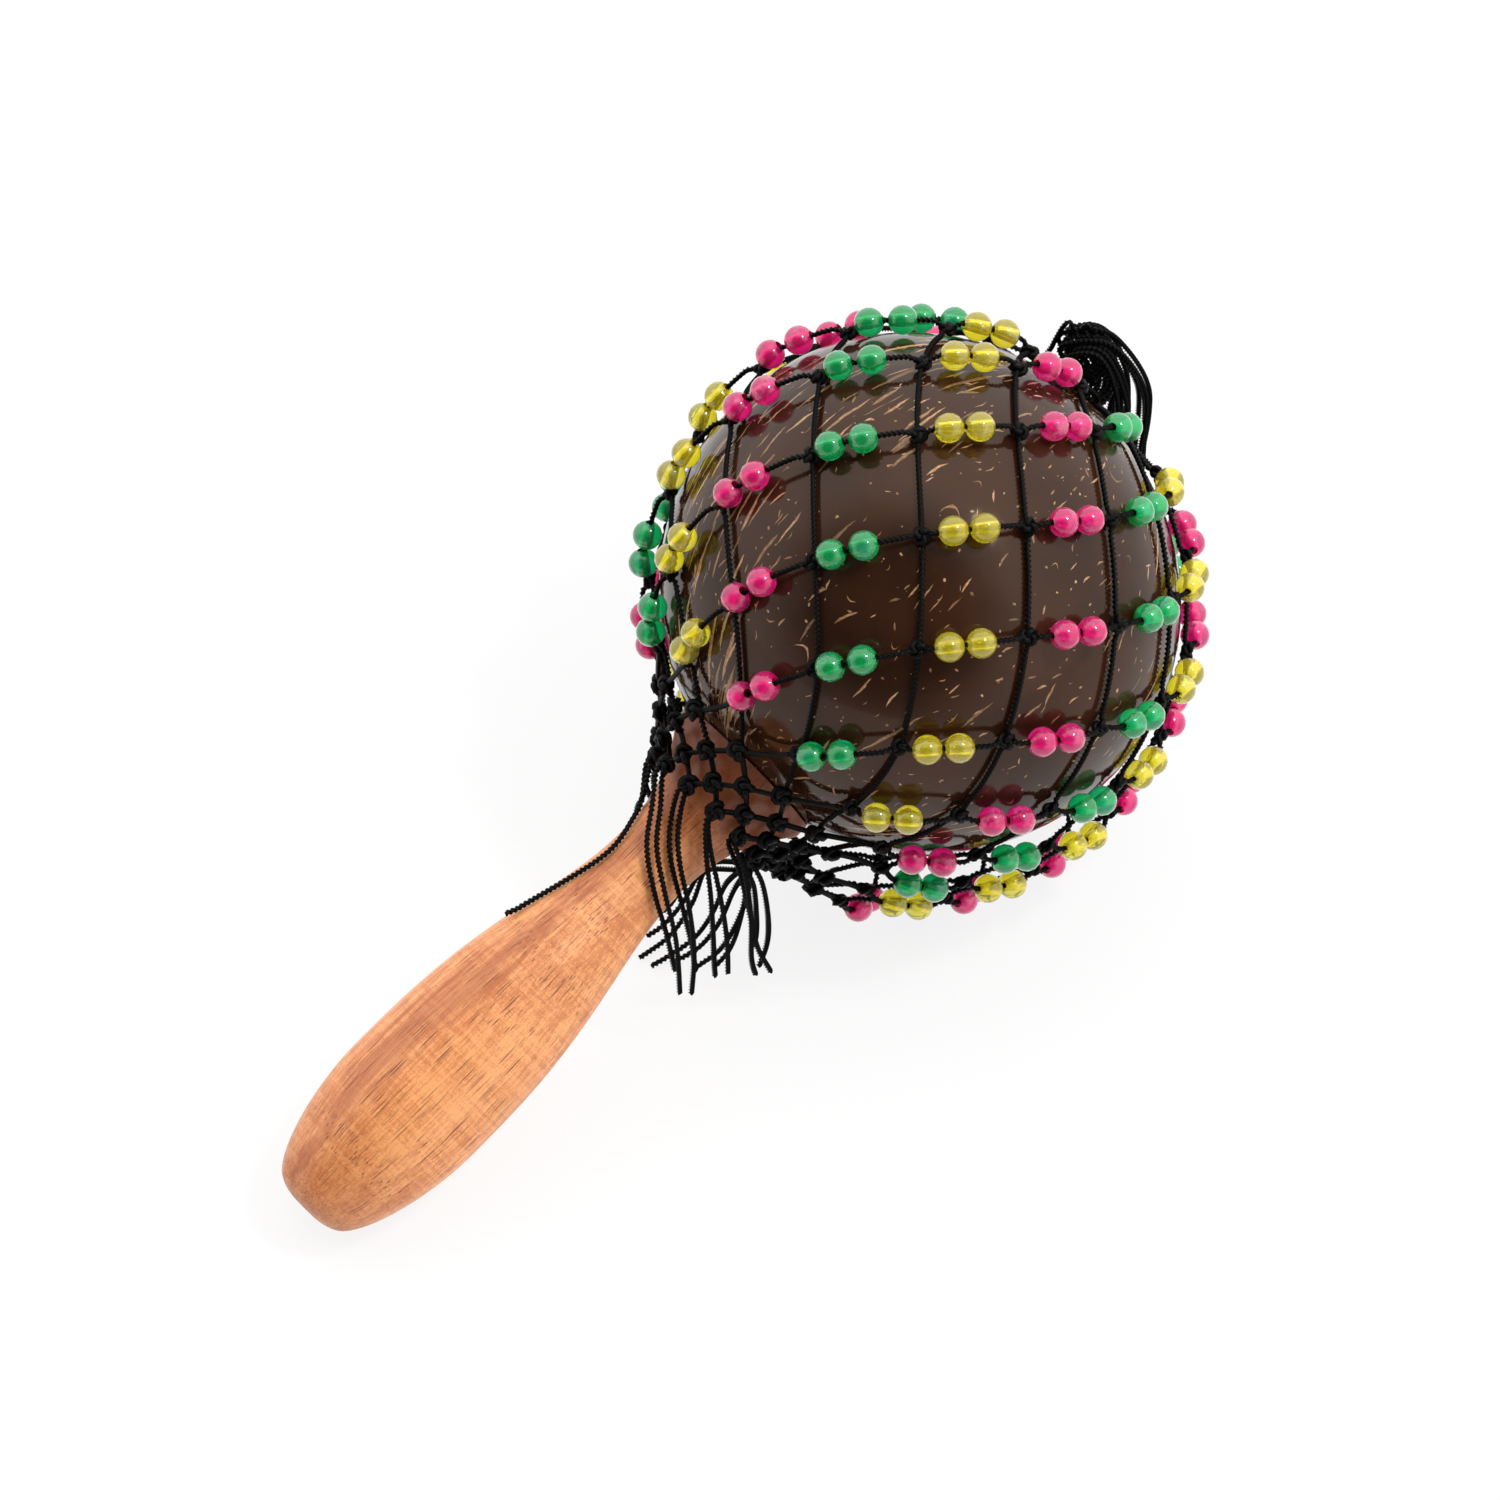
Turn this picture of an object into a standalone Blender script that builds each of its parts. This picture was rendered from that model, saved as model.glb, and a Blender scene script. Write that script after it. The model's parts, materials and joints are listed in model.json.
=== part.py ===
"""Cabasa: a coconut shell on a turned wooden handle, wrapped in a loose knotted net of beads.

The instrument lies as it rests on a table. Its axis runs from the handle's flat end up to the
tassel, in the XZ plane, and the handle points to -X. The origin is on the table, under the middle
of the instrument. All sizes are in metres, and all angles in degrees.

The net has two families of cord that wind round the shell in opposite senses. Bare cords lie
next to the shell. Beaded cords cross over them, with a knot at each crossing and a pair of beads
in each mesh. Rows of knots are counted from the tassel, row 0, down to the neck.
"""
import math

import bmesh
import bpy
from mathutils import Matrix, Vector

# Coconut shell, a ball a little shorter on the tassel's side of its widest ring
SHELL_TASSEL_LENGTH = 0.0499
SHELL_HANDLE_LENGTH = 0.0525
SHELL_HALF_WIDTH = 0.0530
SHELL_WALL = 0.0040

# Turned handle, from the flat end to the rim that meets the shell
HANDLE_LENGTH = 0.1209
HANDLE_END_RADIUS = 0.0048
END_ROUNDNESS = 1.7
BELLY_RADIUS = 0.0160
BELLY_FROM_END = 0.0300
NECK_RADIUS = 0.0085
NECK_FROM_RIM = 0.0246
RIM_RADIUS = 0.0169
RIM_LIP = 0.0028
TENON_RADIUS = 0.0100
TENON_PAST_WALL = 0.0060
BELLY_TO_NECK_EASE = 1.5
NECK_TO_RIM_EASE = 2.4

# Cord, knots and beads
CORD_RADIUS = 0.0007
KNOT_RADIUS = 0.0015
KNOT_HALF_LENGTH = 0.0012
BEAD_RADIUS = 0.0030
BEAD_TO_KNOT = 0.0042

# Clearances
GLUE_GAP = 0.0003
CORD_GAP = 0.0003
CORD_OVER_SHELL = 0.0005

# Net layout
CORDS_EACH_WAY = 12
BEAD_ROWS = 7
LAST_ROW = 11
ROW_0_ANGLE = 27.5
ROW_STEP_ANGLE = 16.85
TWIST_PER_ROW = 180.0 / CORDS_EACH_WAY
FIRST_CORD_ANGLE = -104.2
TASSEL_END_ROW = -1.40
COLLAR_END_ROW = 11.3

# The net hangs off the axis: its tilt at a row, as (row, tilt downwards, tilt to the far side)
NET_TILTS = ((0.0, 8.6, 7.7), (2.0, 5.4, 6.5), (4.0, 4.8, 6.0), (6.0, 3.2, 5.4), (8.0, 0.0, 0.0))

# Slack of the net, which hangs off the underside and lies on the table
SAG = 0.0130
SAG_TOWARDS = 152.0
SAG_HALF_WIDTH = 46.0
SAG_FAR_HALF_WIDTH = 84.0
SAG_STARTS_ROW = 0.7
SAG_FULL_ROW = 4.9
SAG_FADES_ROW = 6.5
SAG_LEAST_ROW = 11.0
SAG_LEFT_AT_NECK = 0.15
CROWDING = 32.0
CROWDED_TOWARDS = 187.5
CROWDED_HALF_WIDTH = 75.0
TABLE_SOFTNESS = 0.0015

# Pairs of beads rest a little left of the middle of a mesh, and slide down where it slopes
PAIR_PLACE = 0.41
PAIR_SLIDE = 0.20

# Collar of bare knots round the neck: distance past the handle's rim, and slack over the handle
LEAVES_SHELL_ANGLE = 148.0
COLLAR_PAST_RIM = (-0.0036, 0.0004, 0.0040, 0.0077, 0.0116)
COLLAR_SLACK = (0.0060, 0.0022, 0.0016, 0.0010, 0.0010)

# Tassel stem, a bound bundle of cord ends that stands up from the far side of the shell
STEM_RADIUS = 0.0040
STEM_FOOT_RADIUS = 0.0028
STEM_ROUTE = (
    Vector((0.0, 0.0, 0.0)),
    Vector((0.0050, 0.0013, 0.0008)),
    Vector((0.0066, 0.0030, 0.0038)),
    Vector((0.0059, 0.0046, 0.0066)),
    Vector((0.0048, 0.0058, 0.0092)),
)

# Free ends: each solid is a pair of cord ends that leave one knot together
FREE_END_RADIUS = 0.0009
FREE_END_STEP = 0.0045
STRAND_SPREAD = 0.0029
FIRST_STRAND_ANGLE = -75.0
STRAND_STEP_ANGLE = 40.0

# Fringe, from each collar knot in turn, beginning at the top of the neck
FRINGE_ROUTES = (
    ((-0.0685, -0.0020, 0.0495), (-0.0730, -0.0070, 0.0460), (-0.0755, -0.0125, 0.0370),
     (-0.0760, -0.0145, 0.0240), (-0.0770, -0.0155, 0.0110)),
    ((-0.0670, -0.0100, 0.0475), (-0.0695, -0.0145, 0.0380), (-0.0705, -0.0165, 0.0250),
     (-0.0715, -0.0175, 0.0100)),
    ((-0.0635, -0.0160, 0.0415), (-0.0645, -0.0190, 0.0300), (-0.0650, -0.0205, 0.0170),
     (-0.0635, -0.0215, 0.0070)),
    ((-0.0605, -0.0170, 0.0350), (-0.0605, -0.0180, 0.0240), (-0.0600, -0.0170, 0.0130),
     (-0.0610, -0.0160, 0.0040)),
    ((-0.0600, -0.0130, 0.0270), (-0.0625, -0.0125, 0.0160), (-0.0655, -0.0110, 0.0060),
     (-0.0710, -0.0095, 0.0016)),
    ((-0.0595, -0.0070, 0.0200), (-0.0630, -0.0060, 0.0100), (-0.0680, -0.0045, 0.0030),
     (-0.0770, -0.0025, 0.0014)),
    ((-0.0595, 0.0005, 0.0180), (-0.0640, 0.0015, 0.0080), (-0.0700, 0.0020, 0.0025),
     (-0.0770, 0.0030, 0.0014)),
    ((-0.0595, 0.0060, 0.0210), (-0.0620, 0.0058, 0.0110), (-0.0660, 0.0065, 0.0030),
     (-0.0740, 0.0080, 0.0014)),
    ((-0.0595, 0.0102, 0.0270), (-0.0615, 0.0098, 0.0160), (-0.0635, 0.0105, 0.0060),
     (-0.0690, 0.0122, 0.0014)),
    ((-0.0610, 0.0148, 0.0345), (-0.0595, 0.0140, 0.0220), (-0.0602, 0.0140, 0.0110),
     (-0.0618, 0.0150, 0.0020)),
    ((-0.0690, 0.0086, 0.0468), (-0.0790, 0.0076, 0.0445), (-0.0910, 0.0090, 0.0428),
     (-0.1030, 0.0110, 0.0405)),
    ((-0.0690, 0.0028, 0.0505), (-0.0750, -0.0025, 0.0479), (-0.0790, -0.0090, 0.0427),
     (-0.0805, -0.0135, 0.0330), (-0.0810, -0.0155, 0.0160)),
)

# Tassel strands, as steps from the top of the stem: four fall close to it, and four farther out
TASSEL_ROUTES = (
    ((0.0012, -0.0036, 0.0028), (0.0022, -0.0070, 0.0014), (0.0032, -0.0101, -0.0080),
     (0.0033, -0.0102, -0.0200), (0.0030, -0.0096, -0.0320)),
    ((0.0027, -0.0026, 0.0024), (0.0046, -0.0048, 0.0010), (0.0066, -0.0068, -0.0085),
     (0.0068, -0.0070, -0.0200), (0.0063, -0.0065, -0.0350)),
    ((0.0038, -0.0002, 0.0018), (0.0061, -0.0015, 0.0002), (0.0083, -0.0025, -0.0090),
     (0.0085, -0.0028, -0.0200), (0.0080, -0.0026, -0.0340)),
    ((0.0034, 0.0023, 0.0010), (0.0058, 0.0024, -0.0008), (0.0083, 0.0022, -0.0090),
     (0.0088, 0.0019, -0.0200), (0.0082, 0.0018, -0.0310)),
    ((0.0003, 0.0029, 0.0026), (0.0046, -0.0003, 0.0046), (0.0095, -0.0010, 0.0018),
     (0.0139, -0.0015, -0.0090), (0.0144, -0.0015, -0.0240), (0.0134, -0.0014, -0.0390)),
    ((-0.0017, 0.0024, 0.0034), (0.0039, -0.0024, 0.0062), (0.0081, -0.0050, 0.0028),
     (0.0119, -0.0074, -0.0090), (0.0123, -0.0077, -0.0240), (0.0114, -0.0072, -0.0440)),
    ((-0.0028, 0.0008, 0.0028), (0.0024, -0.0041, 0.0054), (0.0050, -0.0081, 0.0026),
     (0.0074, -0.0119, -0.0090), (0.0077, -0.0123, -0.0240), (0.0072, -0.0114, -0.0430)),
    ((-0.0029, -0.0018, 0.0034), (0.0000, -0.0058, 0.0064), (0.0010, -0.0101, 0.0030),
     (0.0015, -0.0139, -0.0090), (0.0015, -0.0144, -0.0240), (0.0014, -0.0134, -0.0400)),
)

# Facets
SHELL_SIDES = 28
SHELL_RINGS = 12
SHELL_INNER_RINGS = 8
HANDLE_SIDES = 22
BEADED_SIDES = 6
BARE_SIDES = 4
STEM_SIDES = 10
FINE_STEPS_PER_ROW = 16
BARE_RINGS_PER_ROW = 2

COLOURS = {
    "coconut": ((0.060, 0.030, 0.022), 0.25),
    "handle_wood": ((0.560, 0.250, 0.110), 0.45),
    "black_cord": ((0.008, 0.008, 0.008), 0.80),
    "pink_bead": ((0.830, 0.030, 0.200), 0.15),
    "green_bead": ((0.010, 0.280, 0.090), 0.15),
    "yellow_bead": ((0.760, 0.680, 0.030), 0.15),
}
BEAD_ORDER = ("pink_bead", "green_bead", "yellow_bead")

# Heights of the two families of cord over the surface that the net lies on
BARE_LIFT = CORD_RADIUS + CORD_OVER_SHELL
BEADED_LIFT = max(BEAD_RADIUS + CORD_OVER_SHELL,
                  BARE_LIFT + CORD_RADIUS + CORD_GAP + KNOT_RADIUS)


def ease(x):
    """Rise smoothly from 0 to 1 as x goes from 0 to 1."""
    x = min(1.0, max(0.0, x))
    return x * x * (3.0 - 2.0 * x)


def angle_between(a, b):
    """Size of the turn from a to b, up to half a turn."""
    return abs((a - b + 180.0) % 360.0 - 180.0)


def smooth_route(points, step):
    """Points about a step apart on a smooth curve through the given points."""
    ends = [2.0 * points[0] - points[1]] + list(points) + [2.0 * points[-1] - points[-2]]
    route = []
    for before, start, end, after in zip(ends, ends[1:], ends[2:], ends[3:]):
        count = max(1, round((end - start).length / step))
        for index in range(count):
            t = index / count
            route.append(0.5 * (2.0 * start + (end - before) * t
                                + (2.0 * before - 5.0 * start + 4.0 * end - after) * t ** 2
                                + (3.0 * start - before - 3.0 * end + after) * t ** 3))
    route.append(points[-1].copy())
    return route


# The shell and the handle as turned shapes, with distances along the axis from the shell's centre

def shell_end(radius, inset=0.0):
    """Distance from the shell's middle to its handle side, along the axis, at a radius."""
    share = radius / (SHELL_HALF_WIDTH - inset)
    return (SHELL_HANDLE_LENGTH - inset) * math.sqrt(max(0.0, 1.0 - share ** 2))


def shell_point(angle, inset=0.0):
    """Distance along the axis and radius of the shell's surface, at an angle from the tassel's end."""
    length = SHELL_TASSEL_LENGTH if math.cos(angle) > 0.0 else SHELL_HANDLE_LENGTH
    return (length - inset) * math.cos(angle), (SHELL_HALF_WIDTH - inset) * math.sin(angle)


RIM_AT = shell_end(RIM_RADIUS) + GLUE_GAP + RIM_LIP
HANDLE_END_AT = RIM_AT + HANDLE_LENGTH


def handle_radius(along):
    """Radius of the handle at a distance from the shell's centre."""
    from_end = HANDLE_END_AT - along
    from_rim = along - RIM_AT
    if from_rim <= 0.0:
        return RIM_RADIUS
    if from_rim < NECK_FROM_RIM:
        share = (1.0 - from_rim / NECK_FROM_RIM) ** NECK_TO_RIM_EASE
        return NECK_RADIUS + (RIM_RADIUS - NECK_RADIUS) * share
    if from_end > BELLY_FROM_END:
        stretch = HANDLE_LENGTH - NECK_FROM_RIM - BELLY_FROM_END
        share = ease(((from_end - BELLY_FROM_END) / stretch) ** BELLY_TO_NECK_EASE)
        return BELLY_RADIUS + (NECK_RADIUS - BELLY_RADIUS) * share
    share = math.sqrt(max(0.0, 1.0 - (1.0 - max(0.0, from_end) / BELLY_FROM_END) ** END_ROUNDNESS))
    return HANDLE_END_RADIUS + (BELLY_RADIUS - HANDLE_END_RADIUS) * share


def handle_stations():
    """Distances from the shell's centre at which the handle's outline has a point."""
    flare = [RIM_AT + NECK_FROM_RIM * share for share in (0.0, 0.14, 0.3, 0.5, 0.75)]
    stretch = HANDLE_LENGTH - NECK_FROM_RIM - BELLY_FROM_END
    taper = [RIM_AT + NECK_FROM_RIM + stretch * share / 6 for share in range(7)]
    round_end = [HANDLE_END_AT - BELLY_FROM_END * share
                 for share in (0.7, 0.45, 0.25, 0.11, 0.035, 0.0)]
    return flare + taper + round_end


def rest_tilt():
    """Tilt of the axis at which the beads under the shell and the handle both touch the table."""
    low, high = 0.0, math.pi / 4
    for _ in range(50):
        tilt = (low + high) / 2
        depth = max(along * math.sin(tilt) + handle_radius(along) * math.cos(tilt)
                    for along in handle_stations())
        if depth < shell_height(tilt):
            low = tilt
        else:
            high = tilt
    return low


def shell_height(tilt):
    """Height of the shell's centre when it lies on beads."""
    underside = math.hypot(SHELL_HANDLE_LENGTH * math.sin(tilt), SHELL_HALF_WIDTH * math.cos(tilt))
    return underside + BEADED_LIFT + BEAD_RADIUS


TILT = rest_tilt()
CENTRE = Vector((0.0, 0.0, shell_height(TILT)))
AXIS = Vector((math.cos(TILT), 0.0, math.sin(TILT)))
UPWARD = Vector((-math.sin(TILT), 0.0, math.cos(TILT)))
SIDEWAYS = AXIS.cross(UPWARD)


# The surface that the net lies on

def collar_outline():
    """Points (row angle, distance along the axis, radius) of the net from the shell to the neck."""
    outline = []
    for angle in range(0, int(LEAVES_SHELL_ANGLE) + 1, 2):
        outline.append((angle, *shell_point(math.radians(angle))))
    rows = range(LAST_ROW + 1 - len(COLLAR_PAST_RIM) + 1, LAST_ROW + 2)
    knots = [Vector(outline[-8]), Vector(outline[-1])]
    for row, past_rim, slack in zip(rows, COLLAR_PAST_RIM, COLLAR_SLACK):
        along = RIM_AT + past_rim
        knots.append(Vector((ROW_0_ANGLE + ROW_STEP_ANGLE * row, -along,
                             handle_radius(along) + slack)))
    lengths = [Vector((0.0, knot.y, knot.z)) for knot in knots]
    for index in range(1, len(knots) - 1):
        ends = lengths[index - 1:index + 3]
        if len(ends) < 4:
            ends.append(2.0 * ends[-1] - ends[-2])
        for share in (0.25, 0.5, 0.75, 1.0):
            angle = knots[index].x + (knots[index + 1].x - knots[index].x) * share
            point = 0.5 * (2.0 * ends[1] + (ends[2] - ends[0]) * share
                           + (2.0 * ends[0] - 5.0 * ends[1] + 4.0 * ends[2] - ends[3]) * share ** 2
                           + (3.0 * ends[1] - ends[0] - 3.0 * ends[2] + ends[3]) * share ** 3)
            outline.append((angle, point.y, point.z))
    return outline


OUTLINE = collar_outline()


def outline_point(angle):
    """Distance along the axis and radius of the net's surface at a row angle."""
    for before, after in zip(OUTLINE, OUTLINE[1:]):
        if angle <= after[0]:
            share = (angle - before[0]) / (after[0] - before[0])
            return (before[1] + (after[1] - before[1]) * share,
                    before[2] + (after[2] - before[2]) * share)
    return OUTLINE[-1][1:]


def outline_normal(angle):
    """Outward direction of the net's surface at a row angle, as (along the axis, radial)."""
    spread = 3.0
    along_0, radius_0 = outline_point(max(0.0, angle - spread))
    along_1, radius_1 = outline_point(angle + spread)
    normal = Vector((radius_1 - radius_0, along_0 - along_1))
    return normal.normalized()


def net_tilt(row):
    """Tilt of the net off the axis at a row, as (downwards, to the far side)."""
    for before, after in zip(NET_TILTS, NET_TILTS[1:]):
        if row <= after[0]:
            share = max(0.0, (row - before[0]) / (after[0] - before[0]))
            return Vector(before[1:]).lerp(Vector(after[1:]), share)
    return Vector((0.0, 0.0))


def net_place(row, turn):
    """Row angle and turn round the axis of a place in the net, shifted as the net hangs."""
    crowd = CROWDING * ease(row / BEAD_ROWS)
    crowd *= ease(1.0 - angle_between(turn, CROWDED_TOWARDS) / CROWDED_HALF_WIDTH)
    turn = math.radians(turn - crowd)
    angle = math.radians(ROW_0_ANGLE + ROW_STEP_ANGLE * row)
    tilt = net_tilt(row)
    if tilt.length < 0.01:
        return math.degrees(angle), turn
    direction = Vector((math.sin(angle) * math.cos(turn), math.sin(angle) * math.sin(turn),
                        math.cos(angle)))
    hinge = Vector((tilt.y, -tilt.x, 0.0))
    direction = Matrix.Rotation(math.radians(tilt.length), 3, hinge) @ direction
    return (math.degrees(math.acos(max(-1.0, min(1.0, direction.z)))),
            math.atan2(direction.y, direction.x))


def net_point(row, turn, lift):
    """Place of a cord in the net, at a lift over the surface that the net lies on."""
    angle, turn = net_place(row, turn)
    along, radius = outline_point(angle)
    normal = outline_normal(angle)
    slack = SAG * ease((row - SAG_STARTS_ROW) / (SAG_FULL_ROW - SAG_STARTS_ROW))
    fade = ease((row - SAG_FADES_ROW) / (SAG_LEAST_ROW - SAG_FADES_ROW))
    slack *= 1.0 - (1.0 - SAG_LEFT_AT_NECK) * fade
    past = (math.degrees(turn) - SAG_TOWARDS + 180.0) % 360.0 - 180.0
    slack *= ease(1.0 - abs(past) / (SAG_FAR_HALF_WIDTH if past > 0.0 else SAG_HALF_WIDTH))
    out = lift + slack
    radial = UPWARD * math.cos(turn) + SIDEWAYS * math.sin(turn)
    point = CENTRE + AXIS * (along + out * normal.x) + radial * (radius + out * normal.y)
    lowest = BEAD_RADIUS + BEADED_LIFT - lift
    if slack > 0.0:
        point.z = (point.z + lowest + math.hypot(point.z - lowest, TABLE_SOFTNESS)) / 2.0
    return point


def bare_turn(index, row):
    """Turn of a bare cord at a row."""
    return FIRST_CORD_ANGLE + 2.0 * TWIST_PER_ROW * index + TWIST_PER_ROW * row


def beaded_turn(index, row):
    """Turn of a beaded cord at a row."""
    return FIRST_CORD_ANGLE + 2.0 * TWIST_PER_ROW * index - TWIST_PER_ROW * row


# Building blocks

def material(name):
    """Material of one of the named colours."""
    if name in bpy.data.materials:
        return bpy.data.materials[name]
    colour, roughness = COLOURS[name]
    finish = bpy.data.materials.new(name)
    finish.use_nodes = True
    shader = finish.node_tree.nodes["Principled BSDF"]
    shader.inputs["Base Color"].default_value = (*colour, 1.0)
    shader.inputs["Roughness"].default_value = roughness
    shader.inputs["Metallic"].default_value = 0.0
    return finish


def add_object(name, data, colours):
    """Put a mesh or a curve in the scene under its name, with its materials."""
    piece = bpy.data.objects.new(name, data)
    for colour in colours:
        data.materials.append(material(colour))
    bpy.context.collection.objects.link(piece)
    return piece


def turned(name, outline, sides, colour):
    """Solid turned about the instrument's axis from points (distance along the axis, radius)."""
    form = bmesh.new()
    points = [form.verts.new((radius, 0.0, along)) for along, radius in outline]
    edges = [form.edges.new(pair) for pair in zip(points, points[1:])]
    bmesh.ops.spin(form, geom=points + edges, axis=(0.0, 0.0, 1.0), cent=(0.0, 0.0, 0.0),
                   angle=2.0 * math.pi, steps=sides, use_merge=True)
    bmesh.ops.remove_doubles(form, verts=form.verts, dist=1e-6)
    bmesh.ops.dissolve_degenerate(form, edges=form.edges, dist=1e-7)
    bmesh.ops.recalc_face_normals(form, faces=form.faces)
    mesh = bpy.data.meshes.new(name)
    form.to_mesh(mesh)
    form.free()
    mesh.shade_smooth()
    mesh.set_sharp_from_angle(angle=math.radians(40.0))
    piece = add_object(name, mesh, (colour,))
    piece.location = CENTRE
    piece.rotation_euler = (0.0, math.pi / 2 - TILT, 0.0)
    return piece


def swept(name, stations, sides, colours):
    """Solid swept along stations (point, radius, colour index), round at every station."""
    form = bmesh.new()
    points = [station[0] for station in stations]
    across = None
    rings = []
    for index, (point, radius, _) in enumerate(stations):
        ahead = points[min(index + 1, len(points) - 1)]
        behind = points[max(index - 1, 0)]
        heading = (ahead - behind).normalized()
        if across is None:
            across = heading.orthogonal()
        across = (across - heading * across.dot(heading)).normalized()
        beside = heading.cross(across)
        ring = []
        for side in range(sides):
            turn = 2.0 * math.pi * side / sides
            offset = across * math.cos(turn) + beside * math.sin(turn)
            ring.append(form.verts.new(point + offset * radius))
        rings.append(ring)
    for index, (ring, following) in enumerate(zip(rings, rings[1:])):
        colour = max(stations[index][2], stations[index + 1][2])
        for side in range(sides):
            nearby = (side + 1) % sides
            face = form.faces.new((ring[side], ring[nearby], following[nearby], following[side]))
            face.material_index = colour
            face.smooth = True
    form.faces.new(list(reversed(rings[0])))
    form.faces.new(rings[-1])
    bmesh.ops.recalc_face_normals(form, faces=form.faces)
    mesh = bpy.data.meshes.new(name)
    form.to_mesh(mesh)
    form.free()
    return add_object(name, mesh, colours)


def free_end(name, route):
    """Round cord along a smooth curve through its route, with cut ends."""
    curve = bpy.data.curves.new(name, "CURVE")
    curve.dimensions = "3D"
    curve.bevel_depth = FREE_END_RADIUS
    curve.bevel_resolution = 2
    curve.use_fill_caps = True
    points = smooth_route(route, FREE_END_STEP)
    spline = curve.splines.new("POLY")
    spline.points.add(len(points) - 1)
    for place, point in zip(spline.points, points):
        place.co = (*point, 1.0)
    return add_object(name, curve, ("black_cord",))


# The pieces

def coconut_shell():
    """Hollow shell, open only at the hole that takes the handle's tenon."""
    hole = TENON_RADIUS + GLUE_GAP
    last = math.pi - math.asin(hole / SHELL_HALF_WIDTH)
    outline = []
    for ring in range(SHELL_RINGS + 1):
        angle = last * ring / SHELL_RINGS
        outline.append(shell_point(angle))
    last = math.pi - math.asin(hole / (SHELL_HALF_WIDTH - SHELL_WALL))
    for ring in range(SHELL_INNER_RINGS, -1, -1):
        angle = last * ring / SHELL_INNER_RINGS
        outline.append(shell_point(angle, SHELL_WALL))
    turned("coconut_shell", outline, SHELL_SIDES, "coconut")


def handle():
    """Handle with a tenon glued in the shell's hole and a flared rim seated on the shell."""
    tenon_tip = -(shell_end(TENON_RADIUS, SHELL_WALL) - TENON_PAST_WALL)
    outline = [(tenon_tip, 0.0), (tenon_tip, TENON_RADIUS)]
    for share in (0.0, 0.5, 1.0):
        radius = TENON_RADIUS + (RIM_RADIUS - TENON_RADIUS) * share
        outline.append((-(shell_end(radius) + GLUE_GAP), radius))
    for along in handle_stations():
        outline.append((-along, handle_radius(along)))
    outline.append((-HANDLE_END_AT, 0.0))
    turned("handle", outline, HANDLE_SIDES, "handle_wood")


def bare_cord(index):
    """One cord of the family that lies next to the shell."""
    count = round((COLLAR_END_ROW - TASSEL_END_ROW) * BARE_RINGS_PER_ROW)
    rows = [TASSEL_END_ROW]
    rows += [step / BARE_RINGS_PER_ROW for step in range(-count, count)
             if TASSEL_END_ROW + 0.2 < step / BARE_RINGS_PER_ROW < COLLAR_END_ROW - 0.2]
    rows.append(COLLAR_END_ROW)
    stations = [(net_point(row, bare_turn(index, row), BARE_LIFT), CORD_RADIUS, 0)
                for row in rows]
    return swept(f"bare_cord_{index + 1:02d}", stations, BARE_SIDES, ("black_cord",))


def bead_pair(stations, near, far, drop, colour):
    """Add two touching beads to a beaded cord, between two knots (distances along the cord)."""
    span = far - near
    place = span * (1.0 - PAIR_PLACE + PAIR_SLIDE * min(0.5, max(-0.5, drop / span)))
    room = BEAD_TO_KNOT + BEAD_RADIUS
    place = near + min(max(place, room), max(room, span - room))
    for middle in (place - BEAD_RADIUS, place + BEAD_RADIUS):
        stations.append((middle - BEAD_RADIUS, CORD_RADIUS, 0))
        stations.append((middle - 0.52 * BEAD_RADIUS, 0.90 * BEAD_RADIUS, colour))
        stations.append((middle + 0.52 * BEAD_RADIUS, 0.90 * BEAD_RADIUS, colour))
    stations.append((place + 2.0 * BEAD_RADIUS, CORD_RADIUS, 0))


def beaded_cord(index):
    """One cord that crosses over the bare cords, with its knots and its threaded beads."""
    count = round((COLLAR_END_ROW - TASSEL_END_ROW) * FINE_STEPS_PER_ROW)
    rows = [TASSEL_END_ROW + (COLLAR_END_ROW - TASSEL_END_ROW) * step / count
            for step in range(count + 1)]
    path = [net_point(row, beaded_turn(index, row), BEADED_LIFT) for row in rows]
    reach = [0.0]
    for start, end in zip(path, path[1:]):
        reach.append(reach[-1] + (end - start).length)

    def distance(row):
        place = (row - rows[0]) / (rows[-1] - rows[0]) * count
        step = min(count - 1, int(place))
        return reach[step] + (reach[step + 1] - reach[step]) * (place - step)

    def at(along):
        step = max(0, sum(1 for value in reach if value <= along) - 1)
        step = min(step, count - 1)
        share = (along - reach[step]) / (reach[step + 1] - reach[step])
        return path[step].lerp(path[step + 1], share)

    marks = [(0.0, CORD_RADIUS, 0)]
    for row in range(LAST_ROW + 1):
        knot = distance(row)
        marks.append((knot - KNOT_HALF_LENGTH, CORD_RADIUS, 0))
        marks.append((knot, KNOT_RADIUS, 0))
        if row < BEAD_ROWS:
            drop = at(knot).z - at(distance(row + 1)).z
            colour = BEAD_ORDER[(index - row - 1) % len(BEAD_ORDER)]
            bead_pair(marks, knot, distance(row + 1), drop, 1 + BEAD_ORDER.index(colour))
        else:
            marks.append((knot + KNOT_HALF_LENGTH, CORD_RADIUS, 0))
    marks.append((reach[-1], CORD_RADIUS, 0))
    stations = [(at(along), radius, colour) for along, radius, colour in marks]
    return swept(f"beaded_cord_{index + 1:02d}", stations, BEADED_SIDES,
                 ("black_cord",) + BEAD_ORDER)


def tassel_foot():
    """Place on the net's surface where all the cords gather."""
    row = -ROW_0_ANGLE / ROW_STEP_ANGLE
    return net_point(row, 0.0, BARE_LIFT)


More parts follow.
